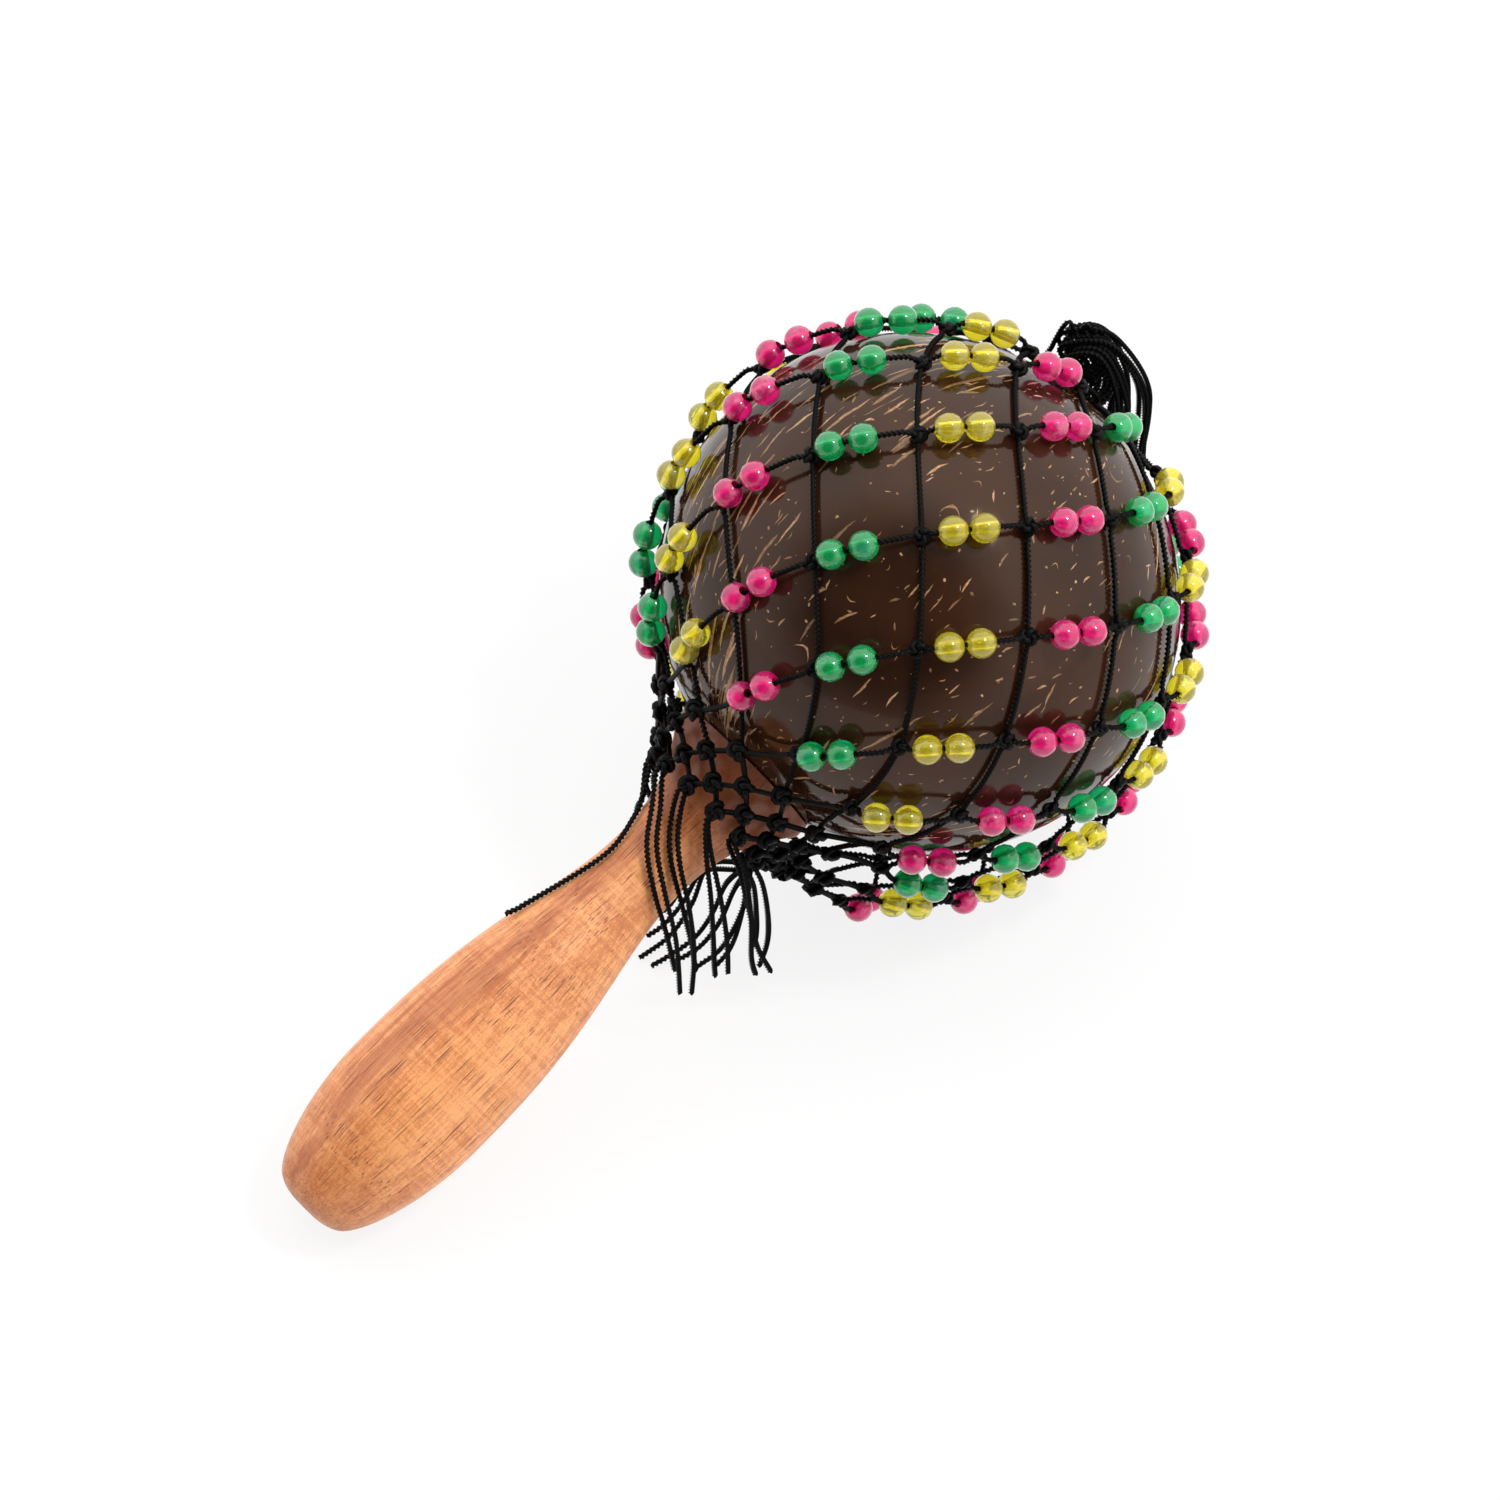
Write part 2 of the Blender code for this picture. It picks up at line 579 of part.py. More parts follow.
def tassel():
    """Bound stem of the tassel and the cord ends that fall from its top."""
    foot = tassel_foot()
    route = [foot + step for step in STEM_ROUTE]
    points = smooth_route(route, STEM_RADIUS)
    stations = []
    for index, point in enumerate(points):
        share = index / (len(points) - 1)
        radius = STEM_FOOT_RADIUS + (STEM_RADIUS - STEM_FOOT_RADIUS) * ease(2.5 * share)
        stations.append((point, radius, 0))
    swept("tassel_stem", stations, STEM_SIDES, ("black_cord",))
    heading = (points[-1] - points[-2]).normalized()
    across = (Vector((1.0, 0.0, 0.0)) - heading * heading.x).normalized()
    beside = heading.cross(across)
    top = points[-1] + heading * (FREE_END_RADIUS + CORD_GAP)
    for index, steps in enumerate(TASSEL_ROUTES):
        turn = math.radians(FIRST_STRAND_ANGLE + STRAND_STEP_ANGLE * index)
        start = top + (across * math.cos(turn) + beside * math.sin(turn)) * STRAND_SPREAD
        strand = [start] + [top + Vector(step) for step in steps]
        free_end(f"tassel_strand_{index + 1:02d}", strand)


def fringe():
    """Cord ends that hang from the collar's last row of knots."""
    for index, steps in enumerate(FRINGE_ROUTES):
        turn = bare_turn(index - LAST_ROW // 2 + 3, LAST_ROW)
        lift = (BARE_LIFT + BEADED_LIFT) / 2.0
        last = net_point(COLLAR_END_ROW, turn, lift)
        onward = (last - net_point(LAST_ROW, turn, lift)).normalized()
        start = last + onward * (CORD_RADIUS + CORD_GAP)
        free_end(f"fringe_strand_{index + 1:02d}", [start] + [Vector(step) for step in steps])


def stand_on_origin():
    """Hang every piece on one empty, and put the middle of the instrument's base at the origin."""
    bpy.context.view_layer.update()
    corners = []
    for piece in bpy.data.objects:
        if "strand" not in piece.name:
            corners += [piece.matrix_world @ vertex.co for vertex in piece.data.vertices]
    middle = [(max(c[side] for c in corners) + min(c[side] for c in corners)) / 2 for side in (0, 1)]
    base = bpy.data.objects.new("cabasa", None)
    bpy.context.collection.objects.link(base)
    for piece in list(bpy.data.objects):
        if piece is not base:
            piece.parent = base
    base.location = (-middle[0], -middle[1], -min(c.z for c in corners))


for leftover in list(bpy.data.objects):
    bpy.data.objects.remove(leftover, do_unlink=True)
coconut_shell()
handle()
for cord in range(CORDS_EACH_WAY):
    bare_cord(cord)
    beaded_cord(cord)
tassel()
fringe()
stand_on_origin()
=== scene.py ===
"""Looks of the cabasa: a polished coconut shell on a turned handle, in a knotted net of beads.

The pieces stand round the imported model, in its frame. All sizes are in metres.
"""

import json
import math

import bpy
from mathutils import Matrix, Vector


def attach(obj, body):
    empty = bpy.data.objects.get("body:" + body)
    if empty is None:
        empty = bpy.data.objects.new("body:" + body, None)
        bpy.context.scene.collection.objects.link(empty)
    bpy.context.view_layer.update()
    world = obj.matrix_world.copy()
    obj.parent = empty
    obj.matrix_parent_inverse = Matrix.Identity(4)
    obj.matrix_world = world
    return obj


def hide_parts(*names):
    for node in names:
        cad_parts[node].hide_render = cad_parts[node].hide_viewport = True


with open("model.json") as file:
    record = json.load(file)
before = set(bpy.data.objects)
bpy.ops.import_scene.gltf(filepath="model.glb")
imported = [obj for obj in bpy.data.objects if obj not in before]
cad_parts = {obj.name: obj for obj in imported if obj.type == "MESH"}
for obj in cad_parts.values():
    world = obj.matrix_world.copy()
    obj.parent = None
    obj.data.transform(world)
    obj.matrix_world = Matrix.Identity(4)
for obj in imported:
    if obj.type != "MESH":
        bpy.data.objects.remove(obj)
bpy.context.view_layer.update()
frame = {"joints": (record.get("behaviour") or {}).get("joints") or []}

# View: the instrument lies on a white table, seen from above, from its right front side, through a
# long lens. The net's joint gives the shell's centre, and the lens aims a little to its lower left.
SPIN = frame["joints"][0]
CENTRE = Vector(SPIN["pos_m"])
VIEW_TURN = math.radians(42.7)
VIEW_RISE = math.radians(57.0)
VIEW_DISTANCE = 1.2
LENS_MM = 144.0
SENSOR_MM = 36.0
AIM_LEFT_OF_SHELL = 0.0346
AIM_BELOW_SHELL = 0.0319

view_right = Vector((math.cos(VIEW_TURN), -math.sin(VIEW_TURN), 0.0))
view_level = Vector((math.sin(VIEW_TURN), math.cos(VIEW_TURN), 0.0))
view_up = view_level * math.sin(VIEW_RISE) + Vector((0.0, 0.0, math.cos(VIEW_RISE)))
view_ahead = view_level * math.cos(VIEW_RISE) - Vector((0.0, 0.0, math.sin(VIEW_RISE)))
camera_place = CENTRE - view_ahead * VIEW_DISTANCE
aim = CENTRE - view_right * AIM_LEFT_OF_SHELL - view_up * AIM_BELOW_SHELL
lens_ahead = (aim - camera_place).normalized()
lens_right = (view_right - lens_ahead * view_right.dot(lens_ahead)).normalized()
camera_data = bpy.data.cameras.new("camera")
camera_data.lens = LENS_MM
camera_data.sensor_width = SENSOR_MM
camera = bpy.data.objects.new("camera", camera_data)
bpy.context.scene.collection.objects.link(camera)
camera_turn = Matrix((lens_right, lens_right.cross(lens_ahead), -lens_ahead)).transposed()
camera.matrix_world = Matrix.Translation(camera_place) @ camera_turn.to_4x4()
bpy.context.scene.camera = camera
bpy.context.scene.view_settings.view_transform = "Standard"


# Table and light: a white table in a pale studio that is brighter overhead, and darker on the
# camera's side, as behind a photographer. One small lamp puts a spark on everything that shines.
TABLE_SIZE = 6.0
TABLE_COLOUR = (0.95, 0.95, 0.95, 1.0)
TABLE_ROUGHNESS = 0.9
TABLE_GLOW = 0.84
ROOM_COLOUR = (1.0, 1.0, 1.0, 1.0)
ROOM_LIGHT = 1.30
ROOM_LIGHT_OVERHEAD = 2.00
ROOM_DARK_SHARE = 0.05
ROOM_DARK_RISE = math.radians(41.0)
ROOM_DARK_TURN = math.radians(20.0)
ROOM_DARK_STARTS = 0.42
ROOM_DARK_FULL = 0.93
LAMP_SIZE = 0.16
LAMP_POWER = 4.4
LAMP_RIGHT = 0.537
LAMP_UP = 0.537
LAMP_BACK = 0.929


def deselect_all():
    """Leave nothing selected, so that the next operator acts on one piece only."""
    bpy.ops.object.select_all(action="DESELECT")


class Wire:
    """What a shader node puts out: it feeds other nodes, and stands in plain sums."""

    def __init__(self, socket):
        self.socket = socket
        self.tree = socket.id_data

    def also(self, output):
        """Another output of the same node."""
        return Wire(self.socket.node.outputs[output])

    def __add__(self, other):
        return add_math("ADD", self, other)

    def __sub__(self, other):
        return add_math("SUBTRACT", self, other)

    def __mul__(self, other):
        return add_math("MULTIPLY", self, other)

    def __truediv__(self, other):
        return add_math("DIVIDE", self, other)


def set_inputs(node, **inputs):
    """Set a node's inputs to values or wires, by name, or by number as _0, _1 and so on."""
    for name, value in inputs.items():
        socket = node.inputs[int(name[1:]) if name[0] == "_" else name.replace("_", " ")]
        if isinstance(value, Wire):
            value.tree.links.new(value.socket, socket)
        else:
            socket.default_value = value


def add_node(tree, kind, output=0, **values):
    """Add a shader node and return one output. Values named in small letters are its settings."""
    node = tree.nodes.new(kind)
    inputs = {}
    for name, value in values.items():
        if name[0].islower():
            setattr(node, name, value)
        else:
            inputs[name] = value
    set_inputs(node, **inputs)
    return Wire(node.outputs[output])


def add_math(operation, first, second=0.0, third=0.0):
    """Add a Math node for a wire, with more wires or numbers, and return its result."""
    return add_node(first.tree, "ShaderNodeMath", operation=operation, _0=first, _1=second, _2=third)


def add_vector_math(operation, *vectors):
    """Add a Vector Math node for a wire, with more wires or vectors, and return its vector."""
    inputs = {f"_{place}": vector for place, vector in enumerate(vectors)}
    return add_node(vectors[0].tree, "ShaderNodeVectorMath", operation=operation, **inputs)


def map_range(value, from_min, from_max, to_min=0.0, to_max=1.0, **settings):
    """Spread one range of a value over another, clamped, and return the result."""
    return add_node(value.tree, "ShaderNodeMapRange", Value=value, From_Min=from_min,
                    From_Max=from_max, To_Min=to_min, To_Max=to_max, **settings)


def split(vector):
    """The three parts of a vector."""
    x = add_node(vector.tree, "ShaderNodeSeparateXYZ", "X", Vector=vector)
    return x, x.also("Y"), x.also("Z")


def new_finish(name):
    """Start a material, and return it with its node tree and its shader."""
    finish = bpy.data.materials.new(name)
    finish.use_nodes = True
    return finish, finish.node_tree, finish.node_tree.nodes["Principled BSDF"]


deselect_all()
bpy.ops.mesh.primitive_plane_add(size=TABLE_SIZE, location=(CENTRE.x, CENTRE.y, 0.0))
table = bpy.context.object
table.name = "table"
finish, tree, shader = new_finish("white_table")
set_inputs(shader, Base_Color=TABLE_COLOUR, Roughness=TABLE_ROUGHNESS, Specular_IOR_Level=0.0)
straight = add_node(tree, "ShaderNodeLightPath", "Is Camera Ray")
seen = add_math("MAXIMUM", straight, straight.also("Is Glossy Ray"))
seen = add_math("MAXIMUM", seen, straight.also("Is Transmission Ray"))
white = add_node(tree, "ShaderNodeEmission", Strength=1.0)
lit = add_node(tree, "ShaderNodeMixShader", _0=seen * TABLE_GLOW, _1=Wire(shader.outputs[0]), _2=white)
set_inputs(tree.nodes["Material Output"], Surface=lit)
table.data.materials.append(finish)

world = bpy.data.worlds.new("studio")
bpy.context.scene.world = world
world.use_nodes = True
tree = world.node_tree
heading = add_node(tree, "ShaderNodeTexCoord", "Generated")
dark_side = view_level * math.cos(ROOM_DARK_TURN) + view_right * math.sin(ROOM_DARK_TURN)
dark_side = Vector((0.0, 0.0, math.sin(ROOM_DARK_RISE))) - dark_side * math.cos(ROOM_DARK_RISE)
towards = add_vector_math("DOT_PRODUCT", heading, dark_side).also("Value")
dimmed = map_range(towards, ROOM_DARK_STARTS, ROOM_DARK_FULL, 1.0, ROOM_DARK_SHARE,
                   interpolation_type="SMOOTHSTEP")
sky = map_range(split(heading)[2], 0.0, 1.0, ROOM_LIGHT, ROOM_LIGHT_OVERHEAD)
set_inputs(tree.nodes["Background"], Color=ROOM_COLOUR, Strength=dimmed * sky)

lamp_data = bpy.data.lights.new("small_lamp", "AREA")
lamp_data.size = LAMP_SIZE
lamp_data.energy = LAMP_POWER
lamp = bpy.data.objects.new("small_lamp", lamp_data)
bpy.context.scene.collection.objects.link(lamp)
lamp_from = LAMP_RIGHT * view_right + LAMP_UP * view_up - LAMP_BACK * view_ahead
lamp.location = CENTRE + lamp_from
lamp.rotation_euler = lamp_from.to_track_quat("Z", "Y").to_euler()


# Coconut shell: one hollow nut, dark brown, ground smooth and polished to a gloss. Its tan fibre
# ends show as streaks and short flecks that run from the handle to the tassel. The hole takes the
# handle's tenon.
AXIS = Vector(SPIN["axis"]).normalized()
TILT = math.asin(AXIS.z)
SHELL_TASSEL_LENGTH = 0.0499
SHELL_HANDLE_LENGTH = 0.0525
SHELL_HALF_WIDTH = 0.0530
SHELL_MEAN_RADIUS = 0.0515
SHELL_WALL = 0.0040
SHELL_SEGMENTS = 128
SHELL_RINGS = 72
TENON_RADIUS = 0.0100
GLUE_GAP = 0.0003
SHELL_BROWN = (0.022, 0.0082, 0.0042, 1.0)
SHELL_RED_BROWN = (0.046, 0.0160, 0.0076, 1.0)
SHELL_SHEEN = (1.0, 0.80, 0.66, 1.0)
SHELL_IOR = 1.40
SHELL_ROUGHNESS = (0.07, 0.15)
FLECK_TAN = (0.40, 0.19, 0.085, 1.0)
FLECK_PALE = (0.62, 0.39, 0.20, 1.0)
FLECK_LEAST_SIZE = 0.30
FLECK_SIZE_RANGE = 0.85
FLECK_EDGE = (0.55, 1.15)
FLECK_FADES = 0.70
FLECK_SINKS = 0.05
STREAKS_FROM_TURN = math.radians(22.0)
STREAKS_FULL_TURN = math.radians(-18.0)
STREAKS_BY_SIDE = (0.16, -0.12)
STREAK_SHARES = (0.03, 0.70)
WOBBLE = 0.0011
DENT_DEPTH = 0.0012
DENT_STRENGTH = 0.22
# Each noise in the shell has its cells per metre and its detail. Bundles have cells along and across
# the grain. Levels are the part of a noise that shows.
BUNDLE_NOISE = (26.0, 62.0, 1.0)
BUNDLE_LEVELS = (0.50, 0.72)
WOBBLE_NOISE = (330.0, 2.0)
MOTTLE_NOISE = (48.0, 5.0)
MOTTLE_LEVELS = (0.35, 0.70)
FIBRE_NOISE = (1300.0, 3.0)
FIBRE_LEVELS = (0.35, 0.65)
SCUFF_NOISE = (420.0, 4.0)
SCUFF_LEVELS = (0.3, 0.7)
DENT_NOISE = (38.0, 2.0)
# Each layer of flecks has its cells per metre along and across the grain, then a fleck's half length
# and half width, its turn and its bend. A layer of single flecks starts with their share of the cells.
STREAK_LAYERS = (
    ((46.0, 300.0), (0.0100, 0.00050, 0.16, 0.0006)),
    ((90.0, 400.0), (0.0048, 0.00036, 0.30, 0.0006)),
)
FLECK_LAYERS = (
    (0.34, (120.0, 150.0), (0.0023, 0.00028, 0.95, 0.0007)),
    (0.26, (230.0, 270.0), (0.0011, 0.00024, 1.70, 0.0005)),
    (0.26, (74.0, 82.0), (0.0019, 0.00030, 6.30, 0.0042)),
    (0.12, (520.0, 560.0), (0.0004, 0.00026, 6.30, 0.0)),
)


def shell_end(radius, inset=0.0):
    """Distance from the shell's middle to its handle side, along the axis, at a radius."""
    share = radius / (SHELL_HALF_WIDTH - inset)
    return (SHELL_HANDLE_LENGTH - inset) * math.sqrt(max(0.0, 1.0 - share ** 2))


def shell_point(angle):
    """Distance along the axis and radius of the shell's surface, at an angle from the tassel's end."""
    length = SHELL_TASSEL_LENGTH if math.cos(angle) > 0.0 else SHELL_HANDLE_LENGTH
    return length * math.cos(angle), SHELL_HALF_WIDTH * math.sin(angle)


def make_active(piece):
    """Select one piece, and make it the one that operators act on."""
    deselect_all()
    piece.select_set(True)
    bpy.context.view_layer.objects.active = piece


def put_on_axis(piece):
    """Turn a piece that was made round Z onto the instrument's axis, with its place in its mesh."""
    piece.location = CENTRE
    piece.rotation_euler = (0.0, math.pi / 2 - TILT, 0.0)
    make_active(piece)
    bpy.ops.object.transform_apply(location=True, rotation=True, scale=True)


def axis_coordinates(tree):
    """Coordinates with X along the instrument's axis and the shell's centre at the origin."""
    place = add_node(tree, "ShaderNodeTexCoord", "Object")
    return add_node(tree, "ShaderNodeMapping", vector_type="TEXTURE", Vector=place, Location=CENTRE,
                    Rotation=(0.0, -TILT, 0.0))


def shell_map(grain):
    """Flat map of the shell, along the grain and round the axis, with its turn and its girth."""
    x, y, z = split(grain)
    girth = add_math("SQRT", y * y + z * z)
    fall = add_math("ARCTAN2", girth, x)
    turn = add_math("ARCTAN2", y * -1.0, z)
    flat = add_node(grain.tree, "ShaderNodeCombineXYZ", X=fall * SHELL_MEAN_RADIUS,
                    Y=turn * SHELL_MEAN_RADIUS)
    return flat, turn, girth / SHELL_MEAN_RADIUS


def fleck_group():
    """Node group: flecks of one size on a flat map, one in some of the cells of a pattern."""
    group = bpy.data.node_groups.new("fibre_flecks", "ShaderNodeTree")
    for name in ("Vector", "Cells per metre"):
        group.interface.new_socket(name, in_out="INPUT", socket_type="NodeSocketVector")
    for name in ("Girth", "Share", "Half length", "Half width", "Turn", "Bend"):
        group.interface.new_socket(name, in_out="INPUT", socket_type="NodeSocketFloat")
    group.interface.new_socket("Mask", in_out="OUTPUT", socket_type="NodeSocketFloat")
    flat = add_node(group, "NodeGroupInput", "Vector")
    density = flat.also("Cells per metre")
    scaled = add_vector_math("MULTIPLY", flat, density)
    middle = add_node(group, "ShaderNodeTexVoronoi", "Position", voronoi_dimensions="2D", Vector=scaled,
                      Scale=1.0)
    spot = add_vector_math("DIVIDE", add_vector_math("SUBTRACT", scaled, middle), density)
    along, across, _ = split(spot)
    across = across * flat.also("Girth")
    red = add_node(group, "ShaderNodeSeparateColor", "Red", Color=middle.also("Color"))
    green = red.also("Green")
    blue = red.also("Blue")
    turn = (red - 0.5) * flat.also("Turn")
    sine = add_math("SINE", turn)
    cosine = add_math("COSINE", turn)
    lengthwise = along * cosine + across * sine
    crosswise = across * cosine - along * sine
    size = blue * FLECK_SIZE_RANGE + FLECK_LEAST_SIZE
    reach = lengthwise / (flat.also("Half length") * size)
    square = reach * reach
    curve = square * flat.also("Bend") * (blue - 0.5)
    breadth = add_math("MAXIMUM", square * -1.0 + 1.0, 0.0) * (flat.also("Half width") * size)
    offset = add_math("ABSOLUTE", crosswise - curve)
    mask = map_range(offset / add_math("MAXIMUM", breadth, 1e-6), *FLECK_EDGE, 1.0, 0.0,
                     interpolation_type="SMOOTHSTEP")
    share = flat.also("Share")
    strength = green / add_math("MAXIMUM", share, 0.01) * -FLECK_FADES + 1.0
    strength = strength * add_math("LESS_THAN", green, share)
    set_inputs(group.nodes.new("NodeGroupOutput"), Mask=mask * strength)
    return group


def add_flecks(flat, girth, share, cells, sizes):
    """Place the fleck group in a material, with its own values, and return its mask."""
    length, width, turn, bend = sizes
    return add_node(flat.tree, "ShaderNodeGroup", node_tree=flecks, Vector=flat, Girth=girth,
                    Share=share, Cells_per_metre=(*cells, 1.0), Half_length=length, Half_width=width,
                    Turn=turn, Bend=bend)


def mix_colours(factor, first, second):
    """Mix two colours, each of them a value or a wire, and return the result."""
    return add_node(factor.tree, "ShaderNodeMix", 2, data_type="RGBA", Factor=factor, _6=first, _7=second)


def add_noise(vector, scale, detail, **inputs):
    """Add a noise texture, and return its level."""
    return add_node(vector.tree, "ShaderNodeTexNoise", "Fac", Vector=vector, Scale=scale, Detail=detail,
                    **inputs)


def stretched_noise(vector, along, across, detail, **inputs):
    """Noise drawn out along the grain, from its cells per metre along and across."""
    drawn = add_node(vector.tree, "ShaderNodeMapping", Vector=vector, Scale=(along, across, across))
    return add_noise(drawn, 1.0, detail, **inputs)


deselect_all()
bpy.ops.mesh.primitive_uv_sphere_add(segments=SHELL_SEGMENTS, ring_count=SHELL_RINGS, radius=1.0)
shell = bpy.context.object
shell.name = "polished_shell"
shell.scale = (SHELL_HALF_WIDTH, SHELL_HALF_WIDTH, SHELL_TASSEL_LENGTH)
bpy.ops.object.transform_apply(location=True, rotation=True, scale=True)
for vertex in shell.data.vertices:
    if vertex.co.z < 0.0:
        vertex.co.z *= SHELL_HANDLE_LENGTH / SHELL_TASSEL_LENGTH
bpy.ops.object.mode_set(mode="EDIT")
bpy.ops.mesh.select_all(action="SELECT")
bpy.ops.mesh.bisect(plane_co=(0.0, 0.0, -shell_end(TENON_RADIUS + GLUE_GAP)),
                    plane_no=(0.0, 0.0, 1.0), clear_inner=True)
bpy.ops.object.mode_set(mode="OBJECT")
bpy.ops.object.shade_smooth()
wall = shell.modifiers.new("wall", "SOLIDIFY")
wall.thickness = SHELL_WALL
wall.offset = -1.0
bpy.ops.object.modifier_apply(modifier="wall")
put_on_axis(shell)

finish, tree, shader = new_finish("polished_coconut")
grain = axis_coordinates(tree)
flat, turn, girth = shell_map(grain)
wobble = add_noise(grain, *WOBBLE_NOISE).also("Color")
wavy = add_vector_math("MULTIPLY_ADD", wobble, (WOBBLE, WOBBLE, 0.0), flat)
bundles = stretched_noise(flat, *BUNDLE_NOISE)
side = map_range(turn, STREAKS_FULL_TURN, STREAKS_FROM_TURN, *STREAKS_BY_SIDE)
streaky = map_range(bundles + side, *BUNDLE_LEVELS, *STREAK_SHARES)
flecks = fleck_group()
masks = [add_flecks(wavy, girth, streaky, *layer) for layer in STREAK_LAYERS]
masks += [add_flecks(wavy, girth, *layer) for layer in FLECK_LAYERS]
fleck = masks[0]
for mask in masks[1:]:
    fleck = add_math("MAXIMUM", fleck, mask)
mottle = map_range(add_noise(grain, *MOTTLE_NOISE), *MOTTLE_LEVELS)
brown = mix_colours(mottle, SHELL_BROWN, SHELL_RED_BROWN)
fibre = map_range(add_noise(wavy, *FIBRE_NOISE), *FIBRE_LEVELS)
tan = mix_colours(fibre, FLECK_TAN, FLECK_PALE)
scuffs = map_range(add_noise(grain, *SCUFF_NOISE), *SCUFF_LEVELS, *SHELL_ROUGHNESS)
relief = add_noise(grain, *DENT_NOISE) - fleck * FLECK_SINKS
bump = add_node(tree, "ShaderNodeBump", Strength=DENT_STRENGTH, Distance=DENT_DEPTH, Height=relief)
set_inputs(shader, Base_Color=mix_colours(fleck, brown, tan), Roughness=scuffs, IOR=SHELL_IOR,
           Specular_Tint=SHELL_SHEEN, Normal=bump)
shell.data.materials.append(finish)
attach(shell, "shaker")
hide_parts("coconut_shell")


# Handle: one piece of red-brown hardwood, turned on a lathe. It swells to a belly, narrows to a neck
# and flares to a rim that seats on the shell. Its tenon is glued in the shell's hole.
HANDLE_LENGTH = 0.1209
HANDLE_END_RADIUS = 0.0048
END_ROUNDNESS = 1.7
BELLY_RADIUS = 0.0160
BELLY_FROM_END = 0.0300
NECK_RADIUS = 0.0085
NECK_FROM_RIM = 0.0246
RIM_RADIUS = 0.0169
RIM_LIP = 0.0028
TENON_PAST_WALL = 0.0060
BELLY_TO_NECK_EASE = 1.5
NECK_TO_RIM_EASE = 2.4
HANDLE_SIDES = 96
SEAT_STEPS = 4
FLARE_STEPS = 14
TAPER_STEPS = 22
BELLY_STEPS = 30
SHARP_EDGE = math.radians(40.0)
END_ROUNDING = 0.0024
WOOD_PALE = (0.90, 0.390, 0.147, 1.0)
WOOD_MIDDLE = (0.61, 0.200, 0.062, 1.0)
WOOD_RED = (0.40, 0.096, 0.025, 1.0)
WOOD_PORE = (0.12, 0.030, 0.009, 1.0)
# Towards the rim the wood turns darker and redder: painted shade of the net and the shell, deepest at the
# rim.
WOOD_PAINTED_SHADE_BY_SHELL = (0.40, 0.088, 0.024, 1.0)
WOOD_PAINTED_SHADE_AT_RIM = (0.085, 0.024, 0.011, 1.0)
# Each tone has two levels of what it follows, a noise or a distance in metres, then its strength at
# them. The dark band along the handle's top has its place across, and how far its edges stray.
FIGURE_TONE = (0.34, 0.66, 0.05, 0.80)
THREAD_TONE = (0.32, 0.68, -0.40, 0.45)
SPECKLE_TONE = (0.32, 0.68, -0.28, 0.28)
LATHE_TONE = (0.36, 0.64, -0.18, 0.18)
RIPPLE_TONE = (0.0, 0.03, 0.22, 0.0)
BAND_TONE = (0.05, 0.42, 0.95, 0.0)
BY_END_TONE = (-0.150, -0.174, 0.0, 0.60)
FIGURE_IN_BAND = (0.25, 0.65, 0.62, 1.0)
# These two tones give where the painted shade of the net and the shell falls on the wood, towards the
# rim.
PAINTED_SHADE_BY_SHELL_TONE = (-0.079, -0.060, 0.0, 0.85)
PAINTED_SHADE_AT_RIM_TONE = (-0.061, -0.052, 0.0, 0.50)
WOOD_ROUGHNESS = (0.3, 0.7, 0.34, 0.48)
BAND_AT = 0.27
BAND_SWAYS = 0.5
BAND_FRAYS = 0.9
LEAST_HEIGHT = 0.0005
WOOD_NOISE_ROUGHNESS = 0.6
# Each noise in the wood has its cells per metre along and across the grain, and its detail. Speckle
# is the same both ways.
FIGURE = (14.0, 210.0, 4.0)
THREADS = (110.0, 1900.0, 3.0)
RIPPLE = (430.0, 70.0, 2.0)
LATHE_MARKS = (950.0, 45.0, 1.0)
SWAY = (24.0, 60.0, 2.0)
FRAYED_EDGE = (40.0, 700.0, 2.0)
SPECKLE_NOISE = (2600.0, 2.0)
# Pores have their cells per metre along and across, a pore's reach in its cell, and their share.
DEEP_PORES = (75.0, 3000.0, 0.42, 0.16)
SKIN_PORES = (120.0, 2700.0, 0.40, 0.20)
PORE_CORE = 0.55
FAINTEST_PORE = 0.4
PORE_GIRTH = 0.0140
PORE_STRENGTH = 0.95
THREAD_RELIEF = 0.3
WOOD_BUMP = 0.35
WOOD_BUMP_DEPTH = 0.0003
RIM_AT = shell_end(RIM_RADIUS) + GLUE_GAP + RIM_LIP
HANDLE_END_AT = RIM_AT + HANDLE_LENGTH


def ease(x):
    """Rise smoothly from 0 to 1 as x goes from 0 to 1."""
    x = min(1.0, max(0.0, x))
    return x * x * (3.0 - 2.0 * x)


def handle_radius(along):
    """Radius of the handle at a distance from the shell's centre."""
    from_end = HANDLE_END_AT - along
    from_rim = along - RIM_AT
    if from_rim <= 0.0:
        return RIM_RADIUS
    if from_rim < NECK_FROM_RIM:
        share = (1.0 - from_rim / NECK_FROM_RIM) ** NECK_TO_RIM_EASE
        return NECK_RADIUS + (RIM_RADIUS - NECK_RADIUS) * share
    if from_end > BELLY_FROM_END:
        stretch = HANDLE_LENGTH - NECK_FROM_RIM - BELLY_FROM_END
        share = ease(((from_end - BELLY_FROM_END) / stretch) ** BELLY_TO_NECK_EASE)
        return BELLY_RADIUS + (NECK_RADIUS - BELLY_RADIUS) * share
    share = math.sqrt(max(0.0, 1.0 - (1.0 - max(0.0, from_end) / BELLY_FROM_END) ** END_ROUNDNESS))
    return HANDLE_END_RADIUS + (BELLY_RADIUS - HANDLE_END_RADIUS) * share


def rounded_radius(along):
    """Radius of the handle with the edge of its end rounded over."""
    from_end = max(0.0, HANDLE_END_AT - along)
    if from_end > END_ROUNDING:
        return handle_radius(along)
    share = 1.0 - from_end / END_ROUNDING
    return handle_radius(along) - END_ROUNDING * (1.0 - math.sqrt(1.0 - share ** 2))


